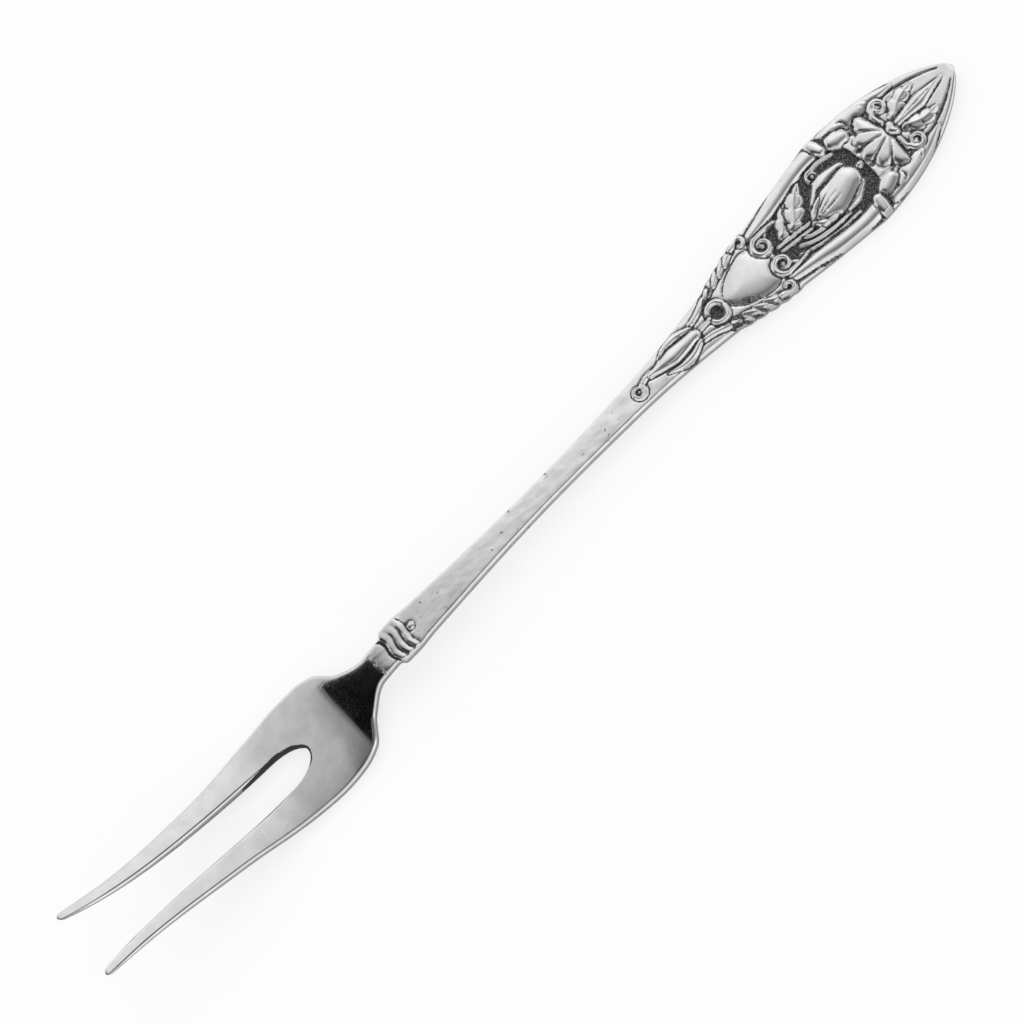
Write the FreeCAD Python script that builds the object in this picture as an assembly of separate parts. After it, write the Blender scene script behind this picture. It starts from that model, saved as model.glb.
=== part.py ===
"""Two-tined cold meat fork with a relief-carved handle, struck from one piece of silver.

Frame: the fork lies face up on a table, as it comes to rest. X runs along the fork with
the handle's tip at +X and the tines at -X, Y runs across it and Z points up. The origin is
under the middle of the fork's box, on the table. Stations along the fork are distances in
millimetres from the handle's tip.
"""

import FreeCAD
import Part

import math
import os

# Lengths along the fork, each from the end of the one before it
TIP_TO_WIDEST = 20.5
WIDEST_TO_CURLS = 13.0
CURLS_LENGTH = 9.3
ORNAMENT_TAIL = 16.2
SHANK_LENGTH = 38.2
COLLAR_LENGTH = 6.0
NECK_LENGTH = 3.0
SHOULDER_LENGTH = 12.8
BOWL_LENGTH = 16.0
TINE_LENGTH = 20.0

# Half widths at those stations
HANDLE_TIP_HALF = 0.3
HANDLE_HALF = 7.4
CURLS_HALF = 5.45
ROOT_HALF = 3.5
TAIL_HALF = 1.92
SHANK_HALF = 1.64
COLLAR_HALF = 2.72
NECK_HALF = 2.02
BOWL_HALF = 7.42
TINE_OUTER_HALF = 5.6
TINE_CURVE_HALF = 4.92
TINE_TIP_OUTER_HALF = 5.3

# The gap between the tines
SLOT_HALF = 2.5
SLOT_NOSE_LENGTH = 5.0
SLOT_START_IN_BOWL = 0.4
TINE_TIP_SLOT_HALF = 4.4
SLOT_FLARE_SHARPNESS = 4.5

# Heights of the fork's middle plane over its rests
HANDLE_TIP_RISE = 0.85
COLLAR_RISE = 3.4
TINE_TIP_RISE = 11.1

# Thicknesses and bevels
HANDLE_EDGE = 1.6
HANDLE_CROWN = 0.35
SHANK_THICKNESS = 1.7
HEAD_THICKNESS = 1.6
TINE_TIP_THICKNESS = 0.6
FRONT_BEVEL = 0.35
BACK_BEVEL = 0.55
REST_FLAT_DEPTH = 0.06

# How full the pointed end of the handle is: 1 is a plain sine curve, less is fuller
TIP_FULLNESS = 0.7

# Bumps of the handle's outline where the carving reaches it
CURL_PROUD = 0.5
CURL_PITCH = 1.8

# Relief, as heights over the plain front of the handle
GROUND_DEPTH = 0.42
ROOT_DEPTH = 0.3
COLLAR_RIDGES = 3
COLLAR_RIDGE_HALF = 0.55
COLLAR_RIDGE_HEIGHT = 0.35
COLLAR_RIDGE_INSET = 0.15
COLLAR_WAVE = 0.3
COLLAR_SLANT = 0.35

# The die that the pattern is drawn on, before it is fitted to the handle
DIE_LENGTH = 58.0
DIE_HALF_WIDTH = 7.25

# Distance between the sections that the outline is drawn through
CARVED_STEP = 1.0
PLAIN_STEP = 3.0

# Stations that follow from the lengths
WIDEST = TIP_TO_WIDEST
CURLS = WIDEST + WIDEST_TO_CURLS
ROOT = CURLS + CURLS_LENGTH
TAIL = ROOT + ORNAMENT_TAIL
COLLAR_TOP = TAIL + SHANK_LENGTH
COLLAR_END = COLLAR_TOP + COLLAR_LENGTH
NECK = COLLAR_END + NECK_LENGTH
BOWL = NECK + SHOULDER_LENGTH
TINES = BOWL + BOWL_LENGTH
LENGTH = TINES + TINE_LENGTH
SLOT_START = BOWL + SLOT_START_IN_BOWL
HANDLE_REST = HANDLE_EDGE / 2 - REST_FLAT_DEPTH
HEAD_REST = HEAD_THICKNESS / 2 - REST_FLAT_DEPTH
SUNK = -GROUND_DEPTH - 0.5 * ROOT_DEPTH


def smooth_through(points):
    """Return a function through (station, value) points with no overshoot between them."""
    steps = [b[0] - a[0] for a, b in zip(points, points[1:])]
    slopes = [(b[1] - a[1]) / step for a, b, step in zip(points, points[1:], steps)]
    tangents = [slopes[0]]
    for before, after in zip(slopes, slopes[1:]):
        level = before * after <= 0.0
        tangents.append(0.0 if level else 2.0 * before * after / (before + after))
    tangents.append(slopes[-1])

    def value(station):
        station = min(max(station, points[0][0]), points[-1][0])
        index = 0
        while index < len(steps) - 1 and station > points[index + 1][0]:
            index += 1
        t = (station - points[index][0]) / steps[index]
        lift = tangents[index] * t * (1.0 - t) ** 2 - tangents[index + 1] * t * t * (1.0 - t)
        blend = t * t * (3.0 - 2.0 * t)
        start, end = points[index][1], points[index + 1][1]
        return start + (end - start) * blend + lift * steps[index]

    return value


half_width_below_widest = smooth_through([
    (WIDEST, HANDLE_HALF),
    (CURLS, CURLS_HALF),
    (ROOT, ROOT_HALF),
    (TAIL, TAIL_HALF),
    (TAIL + 0.4 * SHANK_LENGTH, SHANK_HALF),
    (COLLAR_TOP, 0.9 * COLLAR_HALF),
    (COLLAR_TOP + 0.5 * COLLAR_LENGTH, COLLAR_HALF),
    (COLLAR_TOP + 0.85 * COLLAR_LENGTH, 0.98 * COLLAR_HALF),
    (COLLAR_END, NECK_HALF),
    (NECK, NECK_HALF),
    (NECK + 0.3 * SHOULDER_LENGTH, 0.5 * BOWL_HALF),
    (NECK + 0.52 * SHOULDER_LENGTH, 0.87 * BOWL_HALF),
    (NECK + 0.76 * SHOULDER_LENGTH, 0.98 * BOWL_HALF),
    (BOWL, BOWL_HALF),
    (BOWL + 0.35 * BOWL_LENGTH, 0.94 * BOWL_HALF),
    (TINES, TINE_OUTER_HALF),
    (TINES + 0.6 * TINE_LENGTH, TINE_CURVE_HALF),
    (LENGTH, TINE_TIP_OUTER_HALF),
])

middle_height = smooth_through([
    (0.0, HANDLE_REST + HANDLE_TIP_RISE),
    (0.9 * WIDEST, HANDLE_REST),
    (WIDEST + 0.5 * WIDEST_TO_CURLS, HANDLE_REST),
    (ROOT, HANDLE_REST + 0.17 * COLLAR_RISE),
    (TAIL, HANDLE_REST + 0.41 * COLLAR_RISE),
    (COLLAR_TOP, HANDLE_REST + 0.96 * COLLAR_RISE),
    (COLLAR_TOP + 0.6 * COLLAR_LENGTH, HANDLE_REST + COLLAR_RISE),
    (COLLAR_END, HANDLE_REST + 0.98 * COLLAR_RISE),
    (NECK, HANDLE_REST + 0.86 * COLLAR_RISE),
    (NECK + 0.3 * SHOULDER_LENGTH, HEAD_REST + 0.4 * COLLAR_RISE),
    (NECK + 0.55 * SHOULDER_LENGTH, HEAD_REST + 0.15 * COLLAR_RISE),
    (BOWL, HEAD_REST),
    (BOWL + 0.25 * BOWL_LENGTH, HEAD_REST + 0.012 * TINE_TIP_RISE),
    (BOWL + 0.55 * BOWL_LENGTH, HEAD_REST + 0.075 * TINE_TIP_RISE),
    (TINES, HEAD_REST + 0.25 * TINE_TIP_RISE),
    (TINES + 0.5 * TINE_LENGTH, HEAD_REST + 0.58 * TINE_TIP_RISE),
    (LENGTH, HEAD_REST + TINE_TIP_RISE),
])

thickness = smooth_through([
    (0.0, 0.75 * HANDLE_EDGE),
    (WIDEST, HANDLE_EDGE),
    (CURLS, HANDLE_EDGE),
    (TAIL, SHANK_THICKNESS),
    (COLLAR_END, SHANK_THICKNESS),
    (BOWL, HEAD_THICKNESS),
    (TINES, HEAD_THICKNESS),
    (LENGTH, TINE_TIP_THICKNESS),
])

crown = smooth_through([
    (0.0, 0.0),
    (WIDEST, HANDLE_CROWN),
    (ROOT, HANDLE_CROWN),
    (TAIL, 0.5 * HANDLE_CROWN),
    (COLLAR_END, 0.5 * HANDLE_CROWN),
    (BOWL, 0.0),
    (LENGTH, 0.0),
])


def half_width(station):
    """Return half the fork's width across Y, with the bumps of its carved outline."""
    if station < WIDEST:
        along = (station / WIDEST) ** TIP_FULLNESS
        return max(HANDLE_TIP_HALF, HANDLE_HALF * math.sin(math.pi / 2 * along))
    half = half_width_below_widest(station)
    if CURLS < station < ROOT:
        swell = math.sin(math.pi * (station - CURLS) / CURLS_LENGTH) ** 0.5
        scallop = abs(math.sin(math.pi * (station - CURLS) / CURL_PITCH))
        half += CURL_PROUD * swell * (0.6 + 0.4 * scallop)
    return half


def spread(spans):
    """Return stations along the given (start, end, step) spans, ends included."""
    places = []
    for start, end, step in spans:
        count = max(3, round((end - start) / step))
        places += [start + (end - start) * index / count for index in range(count)]
    return places + [spans[-1][1]]


def section(station):
    """Return the corners of the bevelled section at a station, as (across, height) pairs."""
    half = half_width(station)
    middle = middle_height(station)
    deep = thickness(station) / 2
    bevel = min(FRONT_BEVEL, 0.4 * half, 0.8 * deep)
    back_bevel = min(BACK_BEVEL, 0.4 * half, 0.8 * deep)
    side = [
        (0.55 * half, middle + deep + crown(station)),
        (half - bevel, middle + deep),
        (half, middle + deep - bevel),
        (half, middle - deep + back_bevel),
        (half - 1.5 * back_bevel * half / (half + back_bevel), middle - deep),
    ]
    return side + [(-across, height) for across, height in reversed(side)]


def rail(poles):
    """Return a smooth curve drawn by poles, starting on the first and ending on the last."""
    degree = 3
    spans = len(poles) - degree
    curve = Part.BSplineCurve()
    knots = [float(index) for index in range(spans + 1)]
    mults = [degree + 1] + [1] * (spans - 1) + [degree + 1]
    curve.buildFromPolesMultsKnots(poles, mults, knots, False, degree)
    return curve.toShape()


def flat_band(lower, upper):
    """Return flat faces that close the band between two rings of corners."""
    faces = []
    count = len(lower)
    for index in range(count):
        after = (index + 1) % count
        a, b, c, d = lower[index], lower[after], upper[after], upper[index]
        faces.append(Part.Face(Part.makePolygon([a, b, c, a])))
        faces.append(Part.Face(Part.makePolygon([a, c, d, a])))
    return faces


def closed_solid(faces):
    """Return the solid that the faces close."""
    hull = Part.Shell(faces)
    hull.sewShape()
    solid = Part.Solid(hull)
    if solid.Volume < 0.0:
        solid.reverse()
    return solid


def closed_stack(rings):
    """Return the solid with flat faces through rings of corners, from its bottom to its top."""
    faces = [Part.Face(Part.makePolygon(ring + ring[:1])) for ring in (rings[0], rings[-1])]
    for lower, upper in zip(rings, rings[1:]):
        faces += flat_band(lower, upper)
    return closed_solid(faces)


def corners_at(station):
    """Return the corners of the section at a station."""
    return [
        FreeCAD.Vector(LENGTH / 2 - station, across, height) for across, height in section(station)
    ]


def blank():
    """Return the whole fork, bevelled all along, before it is carved and slotted."""
    carved_places = spread([(0.0, ROOT, CARVED_STEP), (ROOT, TAIL, PLAIN_STEP)])
    plain_places = spread([
        (TAIL, COLLAR_TOP, PLAIN_STEP),
        (COLLAR_TOP, BOWL, CARVED_STEP),
        (BOWL, LENGTH, PLAIN_STEP),
    ])
    carved = [corners_at(station) for station in carved_places]
    plain = [corners_at(station) for station in plain_places]
    faces = []
    for lower, upper in zip(carved, carved[1:]):
        faces += flat_band(lower, upper)
    rails = [rail([corners[index] for corners in plain]) for index in range(len(plain[0]))]
    for first, second in zip(rails, rails[1:] + rails[:1]):
        faces.append(Part.makeRuledSurface(first, second))
    for corners in (carved[0], plain[-1]):
        faces.append(Part.Face(Part.makePolygon(corners + corners[:1])))
    return closed_solid(faces)


def slot():
    """Return the space between the tines, open past their tips."""
    side = []
    nose_steps = 8
    for index in range(nose_steps + 1):
        angle = math.pi / 2 * index / nose_steps
        station = SLOT_START + SLOT_NOSE_LENGTH * (1.0 - math.cos(angle))
        side.append((station, SLOT_HALF * math.sin(angle)))
    nose_end = SLOT_START + SLOT_NOSE_LENGTH
    flare_steps = 6
    for index in range(1, flare_steps + 1):
        share = index / flare_steps
        half = SLOT_HALF + (TINE_TIP_SLOT_HALF - SLOT_HALF) * share ** SLOT_FLARE_SHARPNESS
        side.append((nose_end + (LENGTH - nose_end) * share, half))
    outline = [(station, -half) for station, half in reversed(side[1:])] + side
    curve = Part.BSplineCurve()
    curve.interpolate([FreeCAD.Vector(LENGTH / 2 - station, half, 0.0) for station, half in outline])
    tips = -LENGTH / 2
    beyond = tips - TINE_LENGTH
    corners = [
        FreeCAD.Vector(tips, TINE_TIP_SLOT_HALF, 0.0),
        FreeCAD.Vector(beyond, TINE_TIP_SLOT_HALF, 0.0),
        FreeCAD.Vector(beyond, -TINE_TIP_SLOT_HALF, 0.0),
        FreeCAD.Vector(tips, -TINE_TIP_SLOT_HALF, 0.0),
    ]
    wire = Part.Wire([curve.toShape()] + Part.makePolygon(corners).Edges)
    deep = HEAD_THICKNESS + TINE_TIP_RISE
    cutter = Part.Face(wire).extrude(FreeCAD.Vector(0.0, 0.0, 3.0 * deep))
    cutter.translate(FreeCAD.Vector(0.0, 0.0, -deep))
    return cutter


def under_table():
    """Return the space below the table, which levels the fork's two rests."""
    wide = 4.0 * HANDLE_HALF
    corner = FreeCAD.Vector(-LENGTH, -wide / 2, -HANDLE_EDGE)
    return Part.makeBox(2.0 * LENGTH, wide, HANDLE_EDGE, corner)


def smooth_path(points, closed=False, per_span=2):
    """Return points on a smooth curve through the given ones."""
    if closed:
        around = [points[-1]] + points + points[:2]
    else:
        around = [points[0]] + points + [points[-1]]
    path = []
    for p0, p1, p2, p3 in zip(around, around[1:], around[2:], around[3:]):
        for step in range(per_span):
            t = step / per_span
            weights = (
                -0.5 * t + t * t - 0.5 * t ** 3,
                1.0 - 2.5 * t * t + 1.5 * t ** 3,
                0.5 * t + 2.0 * t * t - 1.5 * t ** 3,
                -0.5 * t * t + 0.5 * t ** 3,
            )
            path.append(tuple(
                sum(weight * p[axis] for weight, p in zip(weights, (p0, p1, p2, p3)))
                for axis in (0, 1)
            ))
    if not closed:
        path.append(points[-1])
    return path


def radius_at(radii, where):
    """Return the radius at a share of a stroke's length, from those at start, middle and end."""
    first, middle, last = radii
    if where < 0.5:
        return first + (middle - first) * 2.0 * where
    return middle + (last - middle) * (2.0 * where - 1.0)


def stroke_outline(path, radii, share):
    """Return the closed outline of a stroke along a path, at a share of its radii."""
    cap_reach, cap_width = 0.8, 0.75
    count = len(path) - 1
    left, right, caps = [], [], []
    for index, (along, across) in enumerate(path):
        before, after = path[max(index - 1, 0)], path[min(index + 1, count)]
        dx, dy = after[0] - before[0], after[1] - before[1]
        run = math.hypot(dx, dy)
        dx, dy = dx / run, dy / run
        radius = share * radius_at(radii, index / count)
        width = radius
        if index in (0, count):
            outward = cap_reach * radius * (1 if index else -1)
            caps.append((along + outward * dx, across + outward * dy))
            width = cap_width * radius
        left.append((along - width * dy, across + width * dx))
        right.append((along + width * dy, across - width * dx))
    return caps[:1] + left + caps[1:] + right[::-1]


def stand(outlines, levels):
    """Return a solid through outlines drawn on the die, standing on the handle's front."""
    along = [point[0] for point in outlines[0]]
    across = [point[1] for point in outlines[0]]
    station = (min(along) + max(along)) / 2 * TAIL / DIE_LENGTH
    side = (min(across) + max(across)) / 2 * HANDLE_HALF / DIE_HALF_WIDTH
    reach = 0.5
    rise = front_height(station + reach, side) - front_height(station - reach, side)
    tilt = math.degrees(math.atan2(rise, 2.0 * reach))
    rings = []
    for outline, level in zip(outlines, levels):
        rings.append([
            FreeCAD.Vector(station - a * TAIL / DIE_LENGTH, b * HANDLE_HALF / DIE_HALF_WIDTH, level)
            for a, b in outline
        ])
    solid = closed_stack(rings)
    solid.rotate(FreeCAD.Vector(), FreeCAD.Vector(0.0, 1.0, 0.0), tilt)
    solid.translate(FreeCAD.Vector(LENGTH / 2 - station, 0.0, front_height(station, side)))
    return solid


def front_height(station, across):
    """Return the height of the plain front over the table."""
    half = half_width(station)
    slope = min(1.0, (1.0 - min(1.0, abs(across) / half)) / 0.45)
    return middle_height(station) + thickness(station) / 2 + crown(station) * slope


def stroke(points, radii, top, root=None, full=False):
    """Return one stroke of the pattern, with its top over the plain front."""
    root = -ROOT_DEPTH if root is None else root
    path = smooth_path(points)
    if full:
        outlines = [stroke_outline(path, radii, share) for share in (1.0, 0.85, 0.45)]
        return stand(outlines, (root, root + 0.72 * (top - root), top))
    outlines = [stroke_outline(path, radii, share) for share in (1.0, 0.5)]
    return stand(outlines, (root, top))


def pair(points, radii, top, root=None, full=False):
    """Return one stroke on each side of the fork's axis."""
    other = [(along, -across) for along, across in points]
    return [stroke(points, radii, top, root, full), stroke(other, radii, top, root, full)]


def tip_leaf():
    """The pointed leaf at the tip, a leaf and a curl on each side of it."""
    strokes = [stroke([(1.6, 0.0), (5.0, 0.0), (9.8, 0.0)], (0.3, 0.95, 0.75), 0.46)]
    strokes += pair([(9.2, 1.3), (7.2, 2.3), (4.9, 2.0)], (0.55, 0.85, 0.3), 0.36)
    strokes += pair(
        [(11.3, 1.8), (11.6, 3.2), (10.6, 4.4), (9.2, 4.0), (9.4, 2.9)],
        (0.5, 0.46, 0.36), 0.38,
    )
    return strokes


def shell():
    """The fluted shell that hangs over the sunk ground."""
    strokes = []
    for flute in range(-2, 3):
        angle = math.radians(30.0 * flute)
        line = [
            (11.2 + radius * math.cos(angle), radius * math.sin(angle))
            for radius in (1.2, 4.1)
        ]
        strokes.append(stroke(line, (0.45, 0.85, 1.15), 0.46))
    return strokes


def wings():
    """The rounded cloud-like masses that run from the shell up along the borders."""
    strokes = pair(
        [(17.0, 5.8), (14.4, 5.55), (11.0, 4.95), (7.2, 4.0)], (1.1, 1.2, 0.4), 0.38, full=True,
    )
    strokes += pair([(15.7, 4.3), (17.3, 4.8)], (1.0, 1.25, 1.0), 0.48, full=True)
    return strokes


def rims():
    """The tubular rims on both sides, each with a ring, and the volutes inside them."""
    strokes = pair(
        [(19.0, 5.75), (22.0, 5.9), (25.5, 5.5), (29.0, 4.7), (32.8, 3.95)],
        (1.15, 1.2, 0.8), 0.34, SUNK, full=True,
    )
    strokes += pair(
        [(29.4, 3.3), (31.4, 3.2), (33.3, 2.9), (33.9, 1.7), (32.9, 0.9), (32.2, 1.8)],
        (0.4, 0.46, 0.36), 0.38, SUNK,
    )
    strokes += pair([(18.9, 5.0), (19.3, 6.7)], (0.75, 0.88, 0.75), 0.5, SUNK)
    return strokes


def bud():
    """The plump bud on two stems in the middle of the sunk ground."""
    strokes = [
        stroke([(19.4, -0.2), (22.0, -0.7), (26.2, -1.2)], (1.9, 2.4, 0.6), 0.55, SUNK, full=True),
        stroke([(18.9, 1.7), (21.6, 1.9), (25.2, 0.4)], (0.9, 1.4, 0.5), 0.36, SUNK, full=True),
        stroke([(18.4, -1.7), (20.4, -2.6), (22.6, -3.0)], (0.6, 0.9, 0.4), 0.24, SUNK),
    ]
    for offset in (0.0, 0.8):
        strokes.append(stroke(
            [(25.6, offset - 1.5), (28.4, offset - 1.0), (31.6, offset - 0.5)],
            (0.26, 0.28, 0.28), 0.04, SUNK,
        ))
    return strokes


def leaves():
    """The long reeded leaf on the near side, and the leaves and tendril on the far side."""
    strokes = []
    for reed in range(3):
        inward = 0.85 * reed
        line = [
            (30.4 - inward, inward - 2.7),
            (27.6, inward - 3.7),
            (24.8, inward - 4.3),
            (21.4 + inward, inward - 4.4),
        ]
        strokes.append(stroke(line, (0.3, 0.42, 0.22), 0.12, SUNK))
    strokes += [
        stroke([(24.0, 4.2), (26.0, 2.9), (28.0, 0.8)], (0.6, 1.1, 0.5), 0.18, SUNK),
        stroke([(26.8, 3.6), (28.4, 2.5), (29.8, 1.0)], (0.5, 0.95, 0.4), 0.14, SUNK),
        stroke([(18.2, 3.9), (20.4, 4.3), (22.6, 4.2), (22.8, 3.0)], (0.3, 0.34, 0.4), 0.1, SUNK),
    ]
    return strokes


def curls():
    """The rope of curls that swells each shoulder below the widest part."""
    strokes = pair([(35.4, 4.7), (34.2, 5.1), (33.3, 4.4), (34.0, 3.7)], (0.5, 0.46, 0.4), 0.44)
    for index in range(4):
        along = 36.4 + 1.4 * index
        across = 4.7 - 0.44 * index
        strokes += pair(
            [(along - 0.8, across + 0.5), (along + 1.1, across - 0.6)],
            (0.5, 0.68, 0.4), 0.44,
        )
    return strokes


def eye():
    """The ring round the sunk oval, and the straps that run down from it."""
    strokes = pair(
        [(41.4, 0.1), (41.8, 1.1), (42.7, 1.4), (43.6, 1.0), (44.0, 0.1)],
        (0.36, 0.42, 0.36), 0.36,
    )
    strokes += pair([(41.4, 3.0), (43.0, 2.3), (44.8, 1.6), (47.2, 1.2)], (0.42, 0.45, 0.45), 0.32)
    strokes.append(stroke([(44.0, 0.0), (47.4, 0.0)], (0.3, 0.34, 0.36), 0.3))
    return strokes


def calyx():
    """The leaf calyx below the straps, with its curled tail."""
    strokes = [stroke([(47.4, 0.0), (50.0, 0.1), (53.8, 0.3)], (1.0, 1.15, 0.4), 0.5, full=True)]
    strokes += pair([(47.6, 1.1), (49.2, 1.6), (51.4, 1.5)], (0.5, 0.6, 0.3), 0.34)
    strokes.append(stroke(
        [(53.4, 0.3), (55.0, 0.2), (56.4, -0.7), (57.6, -0.4), (57.3, 0.6)],
        (0.42, 0.36, 0.36), 0.34,
    ))
    return strokes


def bell():
    """The plain bell between the curls."""
    side = [(34.6, 0.0), (34.9, 1.6), (35.6, 2.9), (36.9, 3.7), (38.6, 3.1), (40.1, 1.7)]
    outline = side + [(40.6, 0.0)] + [(along, -across) for along, across in reversed(side[1:])]
    middle = 37.6
    outlines = []
    for inset in (1.0, 0.92, 0.66):
        outlines.append([
            (middle + (along - middle) * inset, across * inset)
            for along, across in smooth_path(outline, closed=True)
        ])
    return [stand(outlines, (-ROOT_DEPTH, 0.2, 0.42))]


def sunk_fields():
    """Return the cutters of the sunk ground and of the sunk oval."""
    side = [
        (16.6, 2.6), (18.0, 4.4), (20.8, 5.0), (24.6, 4.6), (28.2, 3.9), (31.0, 2.8), (32.4, 0.9),
    ]
    ground = side + [(along, -across) for along, across in reversed(side)]
    oval = [(41.9, 0.0), (42.1, 0.6), (42.7, 0.85), (43.3, 0.6), (43.5, 0.0)]
    oval += [(along, -across) for along, across in reversed(oval[1:-1])]
    high = 2.0 * HANDLE_EDGE
    return [
        stand([smooth_path(ground, closed=True)] * 2, (-GROUND_DEPTH, high)),
        stand([smooth_path(oval, closed=True)] * 2, (-ROOT_DEPTH, high)),
    ]


def collar():
    """The wavy ridges round the front of the collar."""
    ridges = []
    pitch = COLLAR_LENGTH / (COLLAR_RIDGES + 2.2)
    radii = (0.6 * COLLAR_RIDGE_HALF, COLLAR_RIDGE_HALF, 0.6 * COLLAR_RIDGE_HALF)
    levels = (-ROOT_DEPTH, 0.7 * COLLAR_RIDGE_HEIGHT, COLLAR_RIDGE_HEIGHT)
    steps = 8
    for ridge in range(COLLAR_RIDGES):
        station = COLLAR_END - pitch * (ridge + 0.75)
        half = half_width(station)
        path = []
        for index in range(steps + 1):
            share = 2.0 * index / steps - 1.0
            wave = COLLAR_WAVE * math.sin(math.pi * share) - COLLAR_SLANT * share
            path.append((wave, (half - COLLAR_RIDGE_INSET) * share))
        rings = []
        for share, level in zip((1.0, 0.8, 0.4), levels):
            outline = stroke_outline(path, radii, share)
            rings.append([FreeCAD.Vector(a, b, level) for a, b in outline])
        solid = closed_stack(rings)
        solid.translate(FreeCAD.Vector(LENGTH / 2 - station, 0.0, front_height(station, 0.0)))
        ridges.append(solid)
    return ridges


def cold_meat_fork():
    """Return the finished fork as one solid."""
    body = blank().cut([slot(), under_table()] + sunk_fields())
    pattern = (
        tip_leaf() + shell() + wings() + rims() + bud() + leaves()
        + curls() + bell() + eye() + calyx() + collar()
    )
    return body.fuse(pattern).Solids[0]


os.makedirs("parts", exist_ok=True)
fork = cold_meat_fork()
fork.exportStep("parts/cold_meat_fork.step")
print("closed", fork.isValid(), "volume", round(fork.Volume, 1), "box", fork.BoundBox)
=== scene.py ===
"""Silver cold meat fork with a carved handle, on a pale studio floor.

The fork is one closed skin. It starts as a flat grid whose rows run across the fork and whose
columns run along it, and is wrapped round the fork's sections and carved from a relief. Stations
along the fork are distances in millimetres from the handle's tip, and across is positive on the
side away from the camera.
"""

import math

import bpy
import numpy as np
from mathutils import Matrix, Vector


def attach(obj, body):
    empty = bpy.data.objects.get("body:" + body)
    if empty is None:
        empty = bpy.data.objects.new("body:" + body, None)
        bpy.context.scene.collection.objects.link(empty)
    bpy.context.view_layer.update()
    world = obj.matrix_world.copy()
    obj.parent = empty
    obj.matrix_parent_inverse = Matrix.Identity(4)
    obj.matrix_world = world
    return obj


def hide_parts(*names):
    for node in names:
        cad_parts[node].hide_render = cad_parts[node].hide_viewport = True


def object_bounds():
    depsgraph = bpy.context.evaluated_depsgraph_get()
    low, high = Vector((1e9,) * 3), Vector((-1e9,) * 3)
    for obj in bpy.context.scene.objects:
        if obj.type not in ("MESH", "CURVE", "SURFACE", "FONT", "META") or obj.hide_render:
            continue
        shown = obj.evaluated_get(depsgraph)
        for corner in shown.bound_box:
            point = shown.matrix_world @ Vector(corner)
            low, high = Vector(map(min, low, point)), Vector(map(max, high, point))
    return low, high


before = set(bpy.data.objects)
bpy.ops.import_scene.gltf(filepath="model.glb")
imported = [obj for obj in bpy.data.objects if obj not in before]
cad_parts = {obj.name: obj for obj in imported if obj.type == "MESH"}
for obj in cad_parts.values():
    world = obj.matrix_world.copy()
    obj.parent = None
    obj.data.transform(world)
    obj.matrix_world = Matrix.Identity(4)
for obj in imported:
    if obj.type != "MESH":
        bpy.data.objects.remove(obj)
CAD_LOW, CAD_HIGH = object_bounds()

bl_info = {
    "name": "Cold meat fork",
    "version": (1, 0, 0),
    "blender": (4, 5, 0),
    "location": "View3D > Sidebar > Fork",
    "description": "Builds a two-tined silver fork with a carved handle",
    "category": "Add Mesh",
}

MM = 0.001
NODE = "cold_meat_fork"
PIECE = "carved_silver_fork"

# Stations along the fork
LENGTH = (CAD_HIGH.x - CAD_LOW.x) / MM
WIDEST = 20.5
CURLS = 33.5
ROOT = 42.8
TAIL = 59.0
COLLAR_TOP = 97.2
COLLAR_END = 103.2
NECK = 106.2
BOWL = 119.0
TINES = 135.0
SLOT_START = 119.4
SLOT_NOSE_END = 124.4
HAMMERED_END = 105.4

# The outline's tip, and its bumps where the carving reaches it
HANDLE_TIP_HALF = 0.3
TIP_FULLNESS = 0.7
CURL_PROUD = 0.5
CURL_PITCH = 1.8

# Half widths that the panel doesn't set
CURLS_HALF = 5.45
ROOT_HALF = 3.5
TAIL_HALF = 1.92
NECK_HALF = 2.02
TINE_OUTER_HALF = 5.6
TINE_CURVE_HALF = 4.92
TINE_TIP_OUTER_HALF = 5.3

# Sections
HANDLE_EDGE = 1.6
SHANK_THICKNESS = 1.7
HEAD_THICKNESS = 1.6
TINE_TIP_THICKNESS = 0.6
HANDLE_CROWN = 0.35
REST_FLAT_DEPTH = 0.06
HANDLE_REST = HANDLE_EDGE / 2 - REST_FLAT_DEPTH
HEAD_REST = HEAD_THICKNESS / 2 - REST_FLAT_DEPTH
HANDLE_TIP_RISE = 0.85
TINE_TIP_SLOT_HALF = 4.4
SLOT_FLARE_SHARPNESS = 4.5
SHOULDER_WIDTH = 0.38
SHOULDER_HEIGHT = 0.27
SLOT_SHOULDER_HEIGHT = 0.27
SOFT_BEVEL_SHARE = 0.47
STEEP_TO_SOFT = 2.5
BACK_SHOULDER_WIDTH = 1.1
BACK_SHOULDER_HEIGHT = 0.6
TIP_DOME = 0.7

# The shares of a row and of half the thickness that a shoulder takes up at most
SHOULDER_SHARE = 0.22
BACK_SHOULDER_SHARE = 0.42
SLOT_SHOULDER_SHARE = 0.2
SHOULDER_DEPTH_SHARE = 0.6
SLOT_DEPTH_SHARE = 0.5

# The skin's rows, from the handle's tip to the tines' tips
DOME_ROWS = 6
HANDLE_ROWS = 480
SHANK_ROWS = 44
COLLAR_ROWS = 48
NECK_ROWS = 30
BRINK_ROWS = 8
NOSE_ROWS = 16
TINE_ROWS = 36
SLOT_SIDE_POINTS = 300
COLLAR_MARGIN = 1.0
BRINK = 1.5

# The skin's columns on each side, and the shares of the shoulder's width that they stand at
BACK_COLUMNS = 6
BACK_SHOULDER_COLUMNS = 4
SHOULDER_STOPS = (0.0, 0.06, 0.47, 0.59, 0.94, 1.0)
FRONT_COLUMNS = 54
FRONT_CROWDING = 0.3

# How far the carving fades at the outline, and how wide the painted shade lies on the slot's edge
FADE_WIDTH = 0.5
FADED_SHARE = 0.35
SLOT_SHADE_WIDTH = 0.34

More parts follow.
